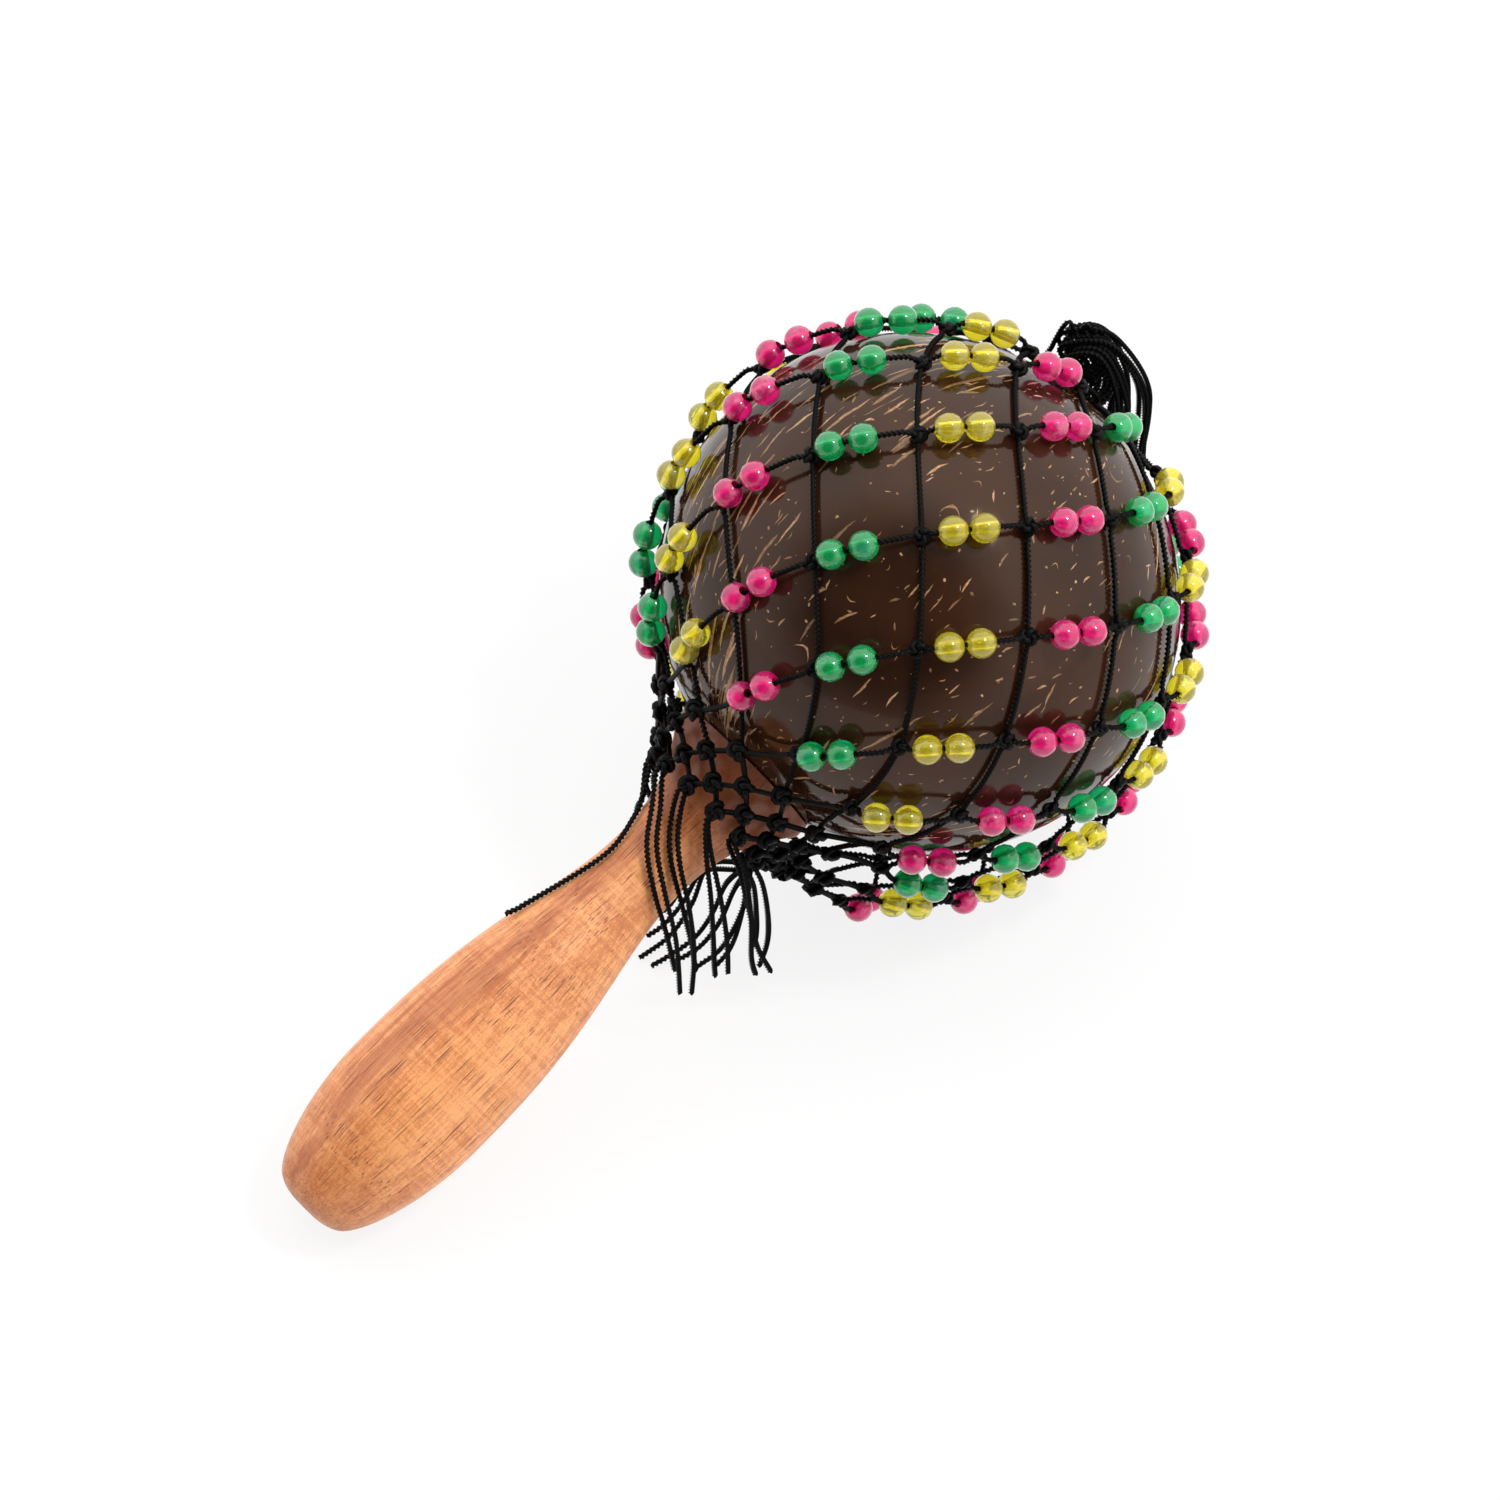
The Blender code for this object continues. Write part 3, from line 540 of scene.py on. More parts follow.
tenon_tip = shell_end(TENON_RADIUS, SHELL_WALL) - TENON_PAST_WALL
stations = []
for step in range(SEAT_STEPS + 1):
    radius = TENON_RADIUS + (RIM_RADIUS - TENON_RADIUS) * step / SEAT_STEPS
    stations.append((shell_end(radius) + GLUE_GAP, radius))
taper = HANDLE_LENGTH - NECK_FROM_RIM - BELLY_FROM_END
turned = [RIM_AT + NECK_FROM_RIM * step / FLARE_STEPS for step in range(FLARE_STEPS)]
turned += [RIM_AT + NECK_FROM_RIM + taper * step / TAPER_STEPS for step in range(TAPER_STEPS)]
turned += [HANDLE_END_AT - BELLY_FROM_END * (1.0 - step / BELLY_STEPS) ** 2
           for step in range(BELLY_STEPS + 1)]
stations += [(along, rounded_radius(along)) for along in turned]
deselect_all()
bpy.ops.mesh.primitive_circle_add(vertices=HANDLE_SIDES, radius=TENON_RADIUS, fill_type="NGON",
                                  location=(0.0, 0.0, -tenon_tip))
handle = bpy.context.object
handle.name = "turned_handle"
bpy.ops.object.transform_apply(location=True, rotation=True, scale=True)
bpy.ops.object.mode_set(mode="EDIT")
bpy.ops.mesh.select_all(action="SELECT")
last_along, last_radius = tenon_tip, TENON_RADIUS
for along, radius in stations:
    bpy.ops.mesh.extrude_region_move(
        TRANSFORM_OT_translate={"value": (0.0, 0.0, last_along - along)})
    ratio = radius / last_radius
    bpy.ops.transform.resize(value=(ratio, ratio, 1.0), center_override=(0.0, 0.0, -along))
    last_along, last_radius = along, radius
bpy.ops.mesh.select_all(action="SELECT")
bpy.ops.mesh.normals_make_consistent(inside=False)
bpy.ops.object.mode_set(mode="OBJECT")
bpy.ops.object.shade_smooth_by_angle(angle=SHARP_EDGE)
put_on_axis(handle)

finish, tree, shader = new_finish("turned_hardwood")
grain = axis_coordinates(tree)


def wood_noise(cells):
    """Noise in the wood, drawn out along the grain."""
    return stretched_noise(grain, *cells, Roughness=WOOD_NOISE_ROUGHNESS)


def add_pores(vector, along, across, reach, share):
    """Dark pores along the grain, one in some of the cells of a drawn-out pattern."""
    drawn = add_node(tree, "ShaderNodeMapping", Vector=vector, Scale=(along, across, across))
    distance = add_node(tree, "ShaderNodeTexVoronoi", "Distance", Vector=drawn, Scale=1.0)
    chance = add_node(tree, "ShaderNodeSeparateColor", "Red", Color=distance.also("Color"))
    spot = map_range(distance, PORE_CORE * reach, reach, 1.0, 0.0)
    faint = map_range(chance, 0.0, share, 1.0, FAINTEST_PORE) * add_math("LESS_THAN", chance, share)
    return spot * faint


x, y, z = split(grain)
figure = wood_noise(FIGURE)
threads = wood_noise(THREADS)
speckle = add_noise(grain, *SPECKLE_NOISE)
lines = add_math("ABSOLUTE", wood_noise(RIPPLE) - 0.5)
tone = map_range(figure, *FIGURE_TONE)
tone = tone + map_range(threads, *THREAD_TONE)
tone = tone + map_range(speckle, *SPECKLE_TONE)
tone = tone + map_range(wood_noise(LATHE_MARKS), *LATHE_TONE)
tone = tone + map_range(lines, *RIPPLE_TONE)
wander = (wood_noise(SWAY) - 0.5) * BAND_SWAYS + (wood_noise(FRAYED_EDGE) - 0.5) * BAND_FRAYS
from_band = y / add_math("MAXIMUM", z, LEAST_HEIGHT) + wander - BAND_AT
dark_band = map_range(add_math("ABSOLUTE", from_band), *BAND_TONE)
by_end = map_range(x, *BY_END_TONE)
deep = add_math("MAXIMUM", dark_band, by_end) * map_range(figure, *FIGURE_IN_BAND)
wood = mix_colours(tone, WOOD_PALE, WOOD_MIDDLE)
wood = mix_colours(deep, wood, WOOD_RED)
# Painted shade of the net and the shell darkens the wood near the rim.
wood = mix_colours(map_range(x, *PAINTED_SHADE_BY_SHELL_TONE), wood, WOOD_PAINTED_SHADE_BY_SHELL)
wood = mix_colours(map_range(x, *PAINTED_SHADE_AT_RIM_TONE), wood, WOOD_PAINTED_SHADE_AT_RIM)
skin = add_node(tree, "ShaderNodeCombineXYZ", X=x, Y=add_math("ARCTAN2", y, z) * PORE_GIRTH)
pores = add_math("MAXIMUM", add_pores(grain, *DEEP_PORES), add_pores(skin, *SKIN_PORES))
bump = add_node(tree, "ShaderNodeBump", Strength=WOOD_BUMP, Distance=WOOD_BUMP_DEPTH,
                Height=threads * THREAD_RELIEF - pores)
set_inputs(shader, Base_Color=mix_colours(pores * PORE_STRENGTH, wood, WOOD_PORE),
           Roughness=map_range(figure, *WOOD_ROUGHNESS), Normal=bump)
handle.data.materials.append(finish)
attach(handle, "shaker")
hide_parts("handle")


# Bare net cords: twelve twisted black cords that wind round the shell in one sense and lie next to
# it. The net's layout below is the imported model's own: rows of knots are counted from the tassel.
SIDEWAYS = AXIS.cross(Vector((0.0, 0.0, 1.0))).normalized()
UPWARD = SIDEWAYS.cross(AXIS)
CORDS_EACH_WAY = 12
BEAD_ROWS = 7
LAST_ROW = 11
ROW_0_ANGLE = 27.5
ROW_STEP_ANGLE = 16.85
TWIST_PER_ROW = 180.0 / CORDS_EACH_WAY
FIRST_CORD_ANGLE = -104.2
TASSEL_END_ROW = -1.40
COLLAR_END_ROW = 11.3
LEAST_TILT = 0.01
# Tilt of the net off the axis: a row, then degrees downwards and to the far side.
NET_TILTS = ((0.0, 8.6, 7.7), (2.0, 5.4, 6.5), (4.0, 4.8, 6.0), (6.0, 3.2, 5.4), (8.0, 0.0, 0.0))
SAG = 0.0130
SAG_TOWARDS = 152.0
SAG_HALF_WIDTH = 46.0
SAG_FAR_HALF_WIDTH = 84.0
SAG_STARTS_ROW = 0.7
SAG_FULL_ROW = 4.9
SAG_FADES_ROW = 6.5
SAG_LEAST_ROW = 11.0
SAG_LEFT_AT_NECK = 0.15
CROWDING = 32.0
CROWDED_TOWARDS = 187.5
CROWDED_HALF_WIDTH = 75.0
TABLE_SOFTNESS = 0.0015
LEAVES_SHELL_ANGLE = 148
OUTLINE_STEP_ANGLE = 2
LEAD_IN_POINTS = 8
COLLAR_PAST_RIM = (-0.0036, 0.0004, 0.0040, 0.0077, 0.0116)
COLLAR_SLACK = (0.0060, 0.0022, 0.0016, 0.0010, 0.0010)
SOLID_BEADED_LIFT = 0.0037
BEAD_RADIUS = 0.0030
CORD_RADIUS = 0.00065
BARE_LIFT = 0.0010
KNOT_LIFT = 0.0019
KNOT_REACH_ROWS = 0.16
ROUTE_STEPS_PER_ROW = 24
LAY_LOBES = 3
LAY_SIDES = 9
LAY_DEPTH = 0.28
LAY_STEP = 0.00033
LAY_TURN = math.radians(40.0)
CORD_BLACK = (0.0014, 0.0013, 0.0013, 1.0)
CORD_GREY = (0.0056, 0.0053, 0.0052, 1.0)
CORD_ROUGHNESS = 0.42
CORD_GLOSS = 0.09
CORD_FIBRE_NOISE = (5200.0, 2.0)
CORD_FIBRE_BUMP = 0.3
CORD_FIBRE_DEPTH = 0.0001
CORD_WEAR_NOISE = (160.0, 3.0)
CORD_GREYNESS = 1.6


def angle_between(a, b):
    """Size of the turn from a to b, up to half a turn."""
    return abs((a - b + 180.0) % 360.0 - 180.0)


def smooth_point(before, start, end, after, t):
    """Point at a share t of the way from start to end, on a smooth curve through four points."""
    return 0.5 * (2.0 * start + (end - before) * t
                  + (2.0 * before - 5.0 * start + 4.0 * end - after) * t ** 2
                  + (3.0 * start - before - 3.0 * end + after) * t ** 3)


def collar_outline():
    """Points (row angle, distance along the axis, radius) of the net from the shell to the neck."""
    outline = []
    for angle in range(0, LEAVES_SHELL_ANGLE + 1, OUTLINE_STEP_ANGLE):
        outline.append((angle, *shell_point(math.radians(angle))))
    rows = range(LAST_ROW + 1 - len(COLLAR_PAST_RIM) + 1, LAST_ROW + 2)
    knots = [Vector(outline[-LEAD_IN_POINTS]), Vector(outline[-1])]
    for row, past_rim, slack in zip(rows, COLLAR_PAST_RIM, COLLAR_SLACK):
        along = RIM_AT + past_rim
        knots.append(Vector((ROW_0_ANGLE + ROW_STEP_ANGLE * row, -along,
                             handle_radius(along) + slack)))
    places = [Vector((0.0, knot.y, knot.z)) for knot in knots]
    places.append(2.0 * places[-1] - places[-2])
    for index in range(1, len(knots) - 1):
        for share in (0.25, 0.5, 0.75, 1.0):
            angle = knots[index].x + (knots[index + 1].x - knots[index].x) * share
            point = smooth_point(*places[index - 1:index + 3], share)
            outline.append((angle, point.y, point.z))
    return outline


OUTLINE = collar_outline()


def read_table(table, place):
    """Values at a place in a table whose rows start with their places, on straight lines between."""
    for before, after in zip(table, table[1:]):
        if place <= after[0]:
            share = max(0.0, (place - before[0]) / (after[0] - before[0]))
            return [start + (end - start) * share for start, end in zip(before[1:], after[1:])]
    return table[-1][1:]


def outline_point(angle):
    """Distance along the axis and radius of the net's surface at a row angle."""
    return read_table(OUTLINE, angle)


def outline_normal(angle):
    """Outward direction of the net's surface at a row angle, as (along the axis, radial)."""
    spread = 3.0
    along_0, radius_0 = outline_point(max(0.0, angle - spread))
    along_1, radius_1 = outline_point(angle + spread)
    return Vector((radius_1 - radius_0, along_0 - along_1)).normalized()


def net_place(row, turn):
    """Row angle and turn round the axis of a place in the net, shifted as the net hangs."""
    crowd = CROWDING * ease(row / BEAD_ROWS)
    crowd *= ease(1.0 - angle_between(turn, CROWDED_TOWARDS) / CROWDED_HALF_WIDTH)
    turn = math.radians(turn - crowd)
    angle = math.radians(ROW_0_ANGLE + ROW_STEP_ANGLE * row)
    tilt = Vector(read_table(NET_TILTS, row))
    if tilt.length < LEAST_TILT:
        return math.degrees(angle), turn
    direction = Vector((math.sin(angle) * math.cos(turn), math.sin(angle) * math.sin(turn),
                        math.cos(angle)))
    hinge = Vector((tilt.y, -tilt.x, 0.0))
    direction = Matrix.Rotation(math.radians(tilt.length), 3, hinge) @ direction
    return (math.degrees(math.acos(max(-1.0, min(1.0, direction.z)))),
            math.atan2(direction.y, direction.x))


def net_point(row, turn, lift):
    """Place of a cord in the net, at a lift over the surface that the net lies on."""
    angle, turn = net_place(row, turn)
    along, radius = outline_point(angle)
    normal = outline_normal(angle)
    slack = SAG * ease((row - SAG_STARTS_ROW) / (SAG_FULL_ROW - SAG_STARTS_ROW))
    fade = ease((row - SAG_FADES_ROW) / (SAG_LEAST_ROW - SAG_FADES_ROW))
    slack *= 1.0 - (1.0 - SAG_LEFT_AT_NECK) * fade
    past = (math.degrees(turn) - SAG_TOWARDS + 180.0) % 360.0 - 180.0
    slack *= ease(1.0 - abs(past) / (SAG_FAR_HALF_WIDTH if past > 0.0 else SAG_HALF_WIDTH))
    out = lift + slack
    radial = UPWARD * math.cos(turn) + AXIS.cross(UPWARD) * math.sin(turn)
    point = CENTRE + AXIS * (along + out * normal.x) + radial * (radius + out * normal.y)
    lowest = BEAD_RADIUS + SOLID_BEADED_LIFT - lift
    if slack > 0.0:
        point.z = (point.z + lowest + math.hypot(point.z - lowest, TABLE_SOFTNESS)) / 2.0
    return point


def bare_turn(index, row):
    """Turn of a bare cord at a row."""
    return FIRST_CORD_ANGLE + 2.0 * TWIST_PER_ROW * index + TWIST_PER_ROW * row


def near_knot(row):
    """1 at a knot, and 0 away from it."""
    return 1.0 - ease(abs(row - round(row)) / KNOT_REACH_ROWS)


def route_rows():
    """Rows at the points of a cord's route, from the tassel to the collar's end."""
    count = round((COLLAR_END_ROW - TASSEL_END_ROW) * ROUTE_STEPS_PER_ROW)
    return [TASSEL_END_ROW + (COLLAR_END_ROW - TASSEL_END_ROW) * step / count
            for step in range(count + 1)]


def bare_route(index):
    """Line of a bare cord, drawn up a little at each knot."""
    route = []
    for row in route_rows():
        lift = BARE_LIFT + (KNOT_LIFT - BARE_LIFT) * near_knot(row)
        route.append(net_point(row, bare_turn(index, row), lift))
    return route


def even_points(route, step):
    """Points about a step apart along a line."""
    total = sum((end - start).length for start, end in zip(route, route[1:]))
    count = max(2, round(total / step))
    points = [route[0].copy()]
    passed = 0.0
    for start, end in zip(route, route[1:]):
        stretch = (end - start).length
        while len(points) < count and passed + stretch >= total * len(points) / count:
            points.append(start.lerp(end, (total * len(points) / count - passed) / stretch))
        passed += stretch
    points.append(route[-1].copy())
    return points


def poly_curve(name, places, dimensions="3D", closed=False):
    """Curve object with one line through the places."""
    curve = bpy.data.curves.new(name, "CURVE")
    curve.dimensions = dimensions
    spline = curve.splines.new("POLY")
    spline.points.add(len(places) - 1)
    for point, place in zip(spline.points, places):
        point.co = (*place, 1.0)
    spline.use_cyclic_u = closed
    piece = bpy.data.objects.new(name, curve)
    bpy.context.scene.collection.objects.link(piece)
    return piece


def lay_profile():
    """Curve object with the lobed section of a three-strand cord."""
    places = []
    for side in range(LAY_SIDES):
        turn = 2.0 * math.pi * side / LAY_SIDES
        radius = CORD_RADIUS * (1.0 - LAY_DEPTH + LAY_DEPTH * math.cos(LAY_LOBES * turn))
        places.append((radius * math.cos(turn), radius * math.sin(turn), 0.0))
    return poly_curve("cord_section", places, "2D", closed=True)


def twisted_cord(name, route, finish):
    """Mesh of a three-strand cord along a line, with its lay and with cut ends."""
    cord = poly_curve(name, even_points(route, LAY_STEP))
    for place, point in enumerate(cord.data.splines[0].points):
        point.tilt = LAY_TURN * place
    cord.data.bevel_mode = "OBJECT"
    cord.data.bevel_object = cord_section
    cord.data.use_fill_caps = True
    make_active(cord)
    bpy.ops.object.convert(target="MESH")
    cord = bpy.context.object
    cord.name = name
    cord.data.materials.clear()
    cord.data.materials.append(finish)
    bpy.ops.object.mode_set(mode="EDIT")
    bpy.ops.mesh.select_all(action="SELECT")
    bpy.ops.mesh.remove_doubles(threshold=1e-6)
    bpy.ops.mesh.normals_make_consistent(inside=False)
    bpy.ops.object.mode_set(mode="OBJECT")
    bpy.ops.object.shade_smooth()
    return cord


black_cord, tree, shader = new_finish("black_cord")
place = add_node(tree, "ShaderNodeTexCoord", "Object")
fibres = add_noise(place, *CORD_FIBRE_NOISE)
wear = add_noise(place, *CORD_WEAR_NOISE)
bump = add_node(tree, "ShaderNodeBump", Strength=CORD_FIBRE_BUMP, Distance=CORD_FIBRE_DEPTH,
                Height=fibres)
set_inputs(shader, Base_Color=mix_colours(fibres * wear * CORD_GREYNESS, CORD_BLACK, CORD_GREY),
           Roughness=CORD_ROUGHNESS, Specular_IOR_Level=CORD_GLOSS, Normal=bump)

cord_section = lay_profile()
for index in range(CORDS_EACH_WAY):
    cord = twisted_cord(f"bare_net_cord_{index + 1:02d}", bare_route(index), black_cord)
    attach(cord, "net")
    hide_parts(f"bare_cord_{index + 1:02d}")


# Beaded net cords: twelve cords of the other sense of winding. Each is knotted round a bare cord at
# every crossing, with a pair of beads threaded on between the knots over the shell.
BEAD_LIFT = 0.0034
KNOT_TURN_RADIUS = 0.00096
KNOT_WIND_RADIUS = 0.00056
KNOT_CORD_RADIUS = 0.00066
KNOT_POINTS = 30
KNOT_HEIGHT = 1.3
KNOT_SPIN_PER_ROW = 1.3
KNOT_SPIN_PER_CORD = 0.7
COLLAR_KNOT_SIZE = 1.16
PROBE_LIFT = 0.01
PROBE_ROWS = 0.1


def beaded_turn(index, row):
    """Turn of a beaded cord at a row."""
    return FIRST_CORD_ANGLE + 2.0 * TWIST_PER_ROW * index - TWIST_PER_ROW * row


def beaded_point(index, row):
    """Place on a beaded cord, which rises from each knot into the beads."""
    lift = KNOT_LIFT
    if 0.0 < row < BEAD_ROWS:
        lift = BEAD_LIFT + (KNOT_LIFT - BEAD_LIFT) * near_knot(row)
    return net_point(row, beaded_turn(index, row), lift)


def beaded_route(index):
    """Line of a beaded cord."""
    return [beaded_point(index, row) for row in route_rows()]


def one_knot():
    """Mesh object of one overhand knot round the origin, drawn tight."""
    places = []
    for step in range(KNOT_POINTS):
        turn = 2.0 * math.pi * step / KNOT_POINTS
        reach = KNOT_TURN_RADIUS + KNOT_WIND_RADIUS * math.cos(3.0 * turn)
        places.append((reach * math.cos(2.0 * turn), reach * math.sin(2.0 * turn),
                       KNOT_HEIGHT * KNOT_WIND_RADIUS * math.sin(3.0 * turn)))
    knot = poly_curve("knot", places, closed=True)
    knot.data.bevel_depth = KNOT_CORD_RADIUS
    knot.data.bevel_resolution = 0
    make_active(knot)
    bpy.ops.object.convert(target="MESH")
    bpy.ops.object.shade_smooth()
    return bpy.context.object


def frame_at(point, heading, outward, spin):
    """Matrix that puts a piece made round Z at a point, along a heading, spun by an angle."""
    across = (outward - heading * outward.dot(heading)).normalized()
    turn = Matrix((across, heading.cross(across), heading)).transposed()
    return Matrix.Translation(point) @ (turn @ Matrix.Rotation(spin, 3, "Z")).to_4x4()


def copy_mesh(original, name, matrix):
    """Copy of a piece with its own mesh, put in place by a matrix."""
    mesh = original.data.copy()
    mesh.transform(matrix)
    copy = bpy.data.objects.new(name, mesh)
    bpy.context.scene.collection.objects.link(copy)
    return copy


def join_pieces(pieces, name):
    """Join pieces into the first of them, under a name."""
    deselect_all()
    for piece in pieces:
        piece.select_set(True)
    bpy.context.view_layer.objects.active = pieces[0]
    bpy.ops.object.join()
    pieces[0].name = name
    return pieces[0]


knot = one_knot()
knot.data.materials.append(black_cord)
for index in range(CORDS_EACH_WAY):
    pieces = [twisted_cord(f"beaded_net_cord_{index + 1:02d}", beaded_route(index), black_cord)]
    for row in range(LAST_ROW + 1):
        place = beaded_point(index, row)
        outward = (net_point(row, beaded_turn(index, row), PROBE_LIFT) - place).normalized()
        heading = beaded_point(index, row + PROBE_ROWS) - beaded_point(index, row - PROBE_ROWS)
        spin = KNOT_SPIN_PER_ROW * row + KNOT_SPIN_PER_CORD * index
        matrix = frame_at(place, outward, heading.normalized(), spin)
        if row > BEAD_ROWS:
            matrix = matrix @ Matrix.Scale(COLLAR_KNOT_SIZE, 4)
        pieces.append(copy_mesh(knot, "knot_copy", matrix))
    cord = join_pieces(pieces, f"beaded_net_cord_{index + 1:02d}")
    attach(cord, "net")
    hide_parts(f"beaded_cord_{index + 1:02d}")
bpy.data.objects.remove(knot, do_unlink=True)


# Beads: round drilled beads of clear tinted plastic, 6 mm across, with a thin pearly coat that is
# crazed and patchy. The coat's pale patches are partly its own colour and partly painted highlight
# and reflection of the lights. Each mesh of the net has two of one colour. Each colour has its tint,
# the two colours of its pearly coat and painted sheen, and its clearness.
BEAD_COLOURS = {
    "pink_beads": ((1.0, 0.014, 0.25, 1.0), (1.0, 0.46, 0.56, 1.0), (0.94, 0.22, 0.66, 1.0), 0.62),
    "green_beads": ((0.002, 0.56, 0.15, 1.0), (0.18, 0.78, 0.48, 1.0), (0.02, 0.50, 0.60, 1.0), 0.66),
    "yellow_beads": ((1.0, 0.86, 0.034, 1.0), (1.0, 0.94, 0.45, 1.0), (0.74, 0.88, 0.50, 1.0), 0.78),
}
BEAD_IOR = 1.5
BEAD_ROUGHNESS = (0.02, 0.10)
COAT_IOR = 1.55
COAT_ROUGHNESS = 0.03
# The coat's pale patches are partly the coat's own colour and partly painted highlight and reflection of
# the lights.
PEARL_AND_PAINTED_SHEEN_NOISE = (190.0, 2.0)
PEARL_AND_PAINTED_SHEEN_LEVELS = (0.53, 0.66)
COAT_CRAZE_NOISE = (620.0, 2.0)
COAT_CRAZE_SWIRL = 1.6
COAT_CRAZE_LEVELS = (0.40, 0.62)
COAT_HUE_NOISE = (330.0, 1.0)
COAT_HUE_LEVELS = (0.42, 0.62)
PEARL_AND_PAINTED_SHEEN_STRENGTH = 0.62
SHEEN_TINT_SHARE = 0.75
# The bore's wall is paler than the bead: painted highlight for the bright band that shines along the
# bore.
BORE_PAINTED_HIGHLIGHT = 0.40
BORE_ROUGHNESS = 0.6
BEAD_SEGMENTS = 18
BEAD_RINGS = 10
BEAD_SHARP_EDGE = math.radians(50.0)
BEAD_SPIN_PER_CORD = 0.9
BEAD_SPIN_PER_ROW = 2.1
BORE_RADIUS = BEAD_RADIUS * math.sin(math.pi / BEAD_RINGS)
PAIR_PLACE = 0.41
PAIR_SLIDE = 0.20
STEEPEST_DROP = 0.5
BEAD_TO_KNOT = 0.0042
PAIR_SPREAD = (0.0001, 0.0007, 0.0003, 0.0010, 0.0002)


def one_bead():
    """Mesh object of one drilled bead round the origin, with its bore along Z."""
    deselect_all()
    bpy.ops.mesh.primitive_uv_sphere_add(segments=BEAD_SEGMENTS, ring_count=BEAD_RINGS,
                                         radius=BEAD_RADIUS)
    bead = bpy.context.object
    bpy.ops.object.mode_set(mode="EDIT")
    bpy.ops.mesh.select_mode(type="VERT")
    bpy.ops.mesh.select_all(action="DESELECT")
    bpy.ops.object.mode_set(mode="OBJECT")
    for vertex in bead.data.vertices:
        vertex.select = vertex.co.xy.length < 0.9 * BORE_RADIUS
    bpy.ops.object.mode_set(mode="EDIT")
    bpy.ops.mesh.delete(type="VERT")
    bpy.ops.mesh.select_non_manifold()
    bpy.ops.mesh.bridge_edge_loops()
    bpy.ops.mesh.select_all(action="SELECT")
    bpy.ops.mesh.normals_make_consistent(inside=False)
    bpy.ops.object.mode_set(mode="OBJECT")
    bpy.ops.object.shade_smooth_by_angle(angle=BEAD_SHARP_EDGE)
    for face in bead.data.polygons:
        corners = [bead.data.vertices[corner].co.xy.length for corner in face.vertices]
        face.material_index = 1 if max(corners) < BORE_RADIUS + 1e-5 else 0
    return bead


def nearest_step(row):
    """Number of the point of a cord's route that is nearest to a row."""
    rows = route_rows()
    return min(range(len(rows)), key=lambda step: abs(rows[step] - row))


def pair_middle(route, row):
    """Middle of a mesh's pair of beads along its cord, and each point's distance along it."""
    reach = [0.0]
    for start, end in zip(route, route[1:]):
        reach.append(reach[-1] + (end - start).length)
    near = reach[nearest_step(row)]
    far = reach[nearest_step(row + 1)]
    span = far - near
    drop = along_route(route, reach, near).z - along_route(route, reach, far).z
    slope = min(STEEPEST_DROP, max(-STEEPEST_DROP, drop / span))
    place = span * (1.0 - PAIR_PLACE + PAIR_SLIDE * slope)
    room = BEAD_TO_KNOT + BEAD_RADIUS
    place = near + min(max(place, room), max(room, span - room))
    return place, reach


def along_route(route, reach, distance):
    """Point at a distance along a line."""
    step = max(0, sum(1 for value in reach if value <= distance) - 1)
    step = min(step, len(route) - 2)
    share = (distance - reach[step]) / (reach[step + 1] - reach[step])
    return route[step].lerp(route[step + 1], share)


def pearl_and_painted_sheen_group():
    """Node group: a bead's colour under its pearly coat with painted sheen, and how far that covers it.
    """
    group = bpy.data.node_groups.new("pearl_coat_and_painted_sheen", "ShaderNodeTree")
    group.interface.new_socket("Vector", in_out="INPUT", socket_type="NodeSocketVector")
    for name in ("Tint", "Pearl", "Pearl shade"):
        group.interface.new_socket(name, in_out="INPUT", socket_type="NodeSocketColor")
    group.interface.new_socket("Color", in_out="OUTPUT", socket_type="NodeSocketColor")
    group.interface.new_socket("Cover", in_out="OUTPUT", socket_type="NodeSocketFloat")
    place = add_node(group, "NodeGroupInput", "Vector")
    patches = map_range(add_noise(place, *PEARL_AND_PAINTED_SHEEN_NOISE), *PEARL_AND_PAINTED_SHEEN_LEVELS)
    craze = add_noise(place, *COAT_CRAZE_NOISE, Distortion=COAT_CRAZE_SWIRL)
    cover = patches * map_range(craze, *COAT_CRAZE_LEVELS, 0.0, PEARL_AND_PAINTED_SHEEN_STRENGTH)
    hue = map_range(add_noise(place, *COAT_HUE_NOISE), *COAT_HUE_LEVELS)
    pearl = mix_colours(hue, place.also("Pearl"), place.also("Pearl shade"))
    # Pale pearl over the tint: partly the coat's colour, partly painted highlight and reflection.
    colour = mix_colours(cover, place.also("Tint"), pearl)
    set_inputs(group.nodes.new("NodeGroupOutput"), Color=colour, Cover=cover)
    return group


def bead_finish(name, tint, pearl, pearl_shade, clearness):
    """Clear tinted plastic under a crazed pearly coat, whose pale patches are partly painted highlight.
    """
    finish, tree, shader = new_finish(name)
    place = add_node(tree, "ShaderNodeTexCoord", "Object")
    colour = add_node(tree, "ShaderNodeGroup", "Color", node_tree=pearl_coat_and_painted_sheen, Vector=place, Tint=tint,
                      Pearl=pearl, Pearl_shade=pearl_shade)
    roughness = map_range(colour.also("Cover"), 0.0, 1.0, *BEAD_ROUGHNESS)
    sheen_tint = [1.0 - (1.0 - part) * SHEEN_TINT_SHARE for part in tint]
    set_inputs(shader, Base_Color=colour, Roughness=roughness, Transmission_Weight=clearness,
               IOR=BEAD_IOR, Specular_Tint=sheen_tint, Coat_Weight=1.0, Coat_IOR=COAT_IOR,
               Coat_Roughness=COAT_ROUGHNESS)
    return finish


def bore_finish(name, tint):
    """Rough wall of the drilled hole, paler than the bead: a painted highlight for the bright band along
    the bore.
    """
    finish, _, shader = new_finish(name)
    pale = [part + (1.0 - part) * BORE_PAINTED_HIGHLIGHT for part in tint]
    set_inputs(shader, Base_Color=pale, Roughness=BORE_ROUGHNESS)
    return finish


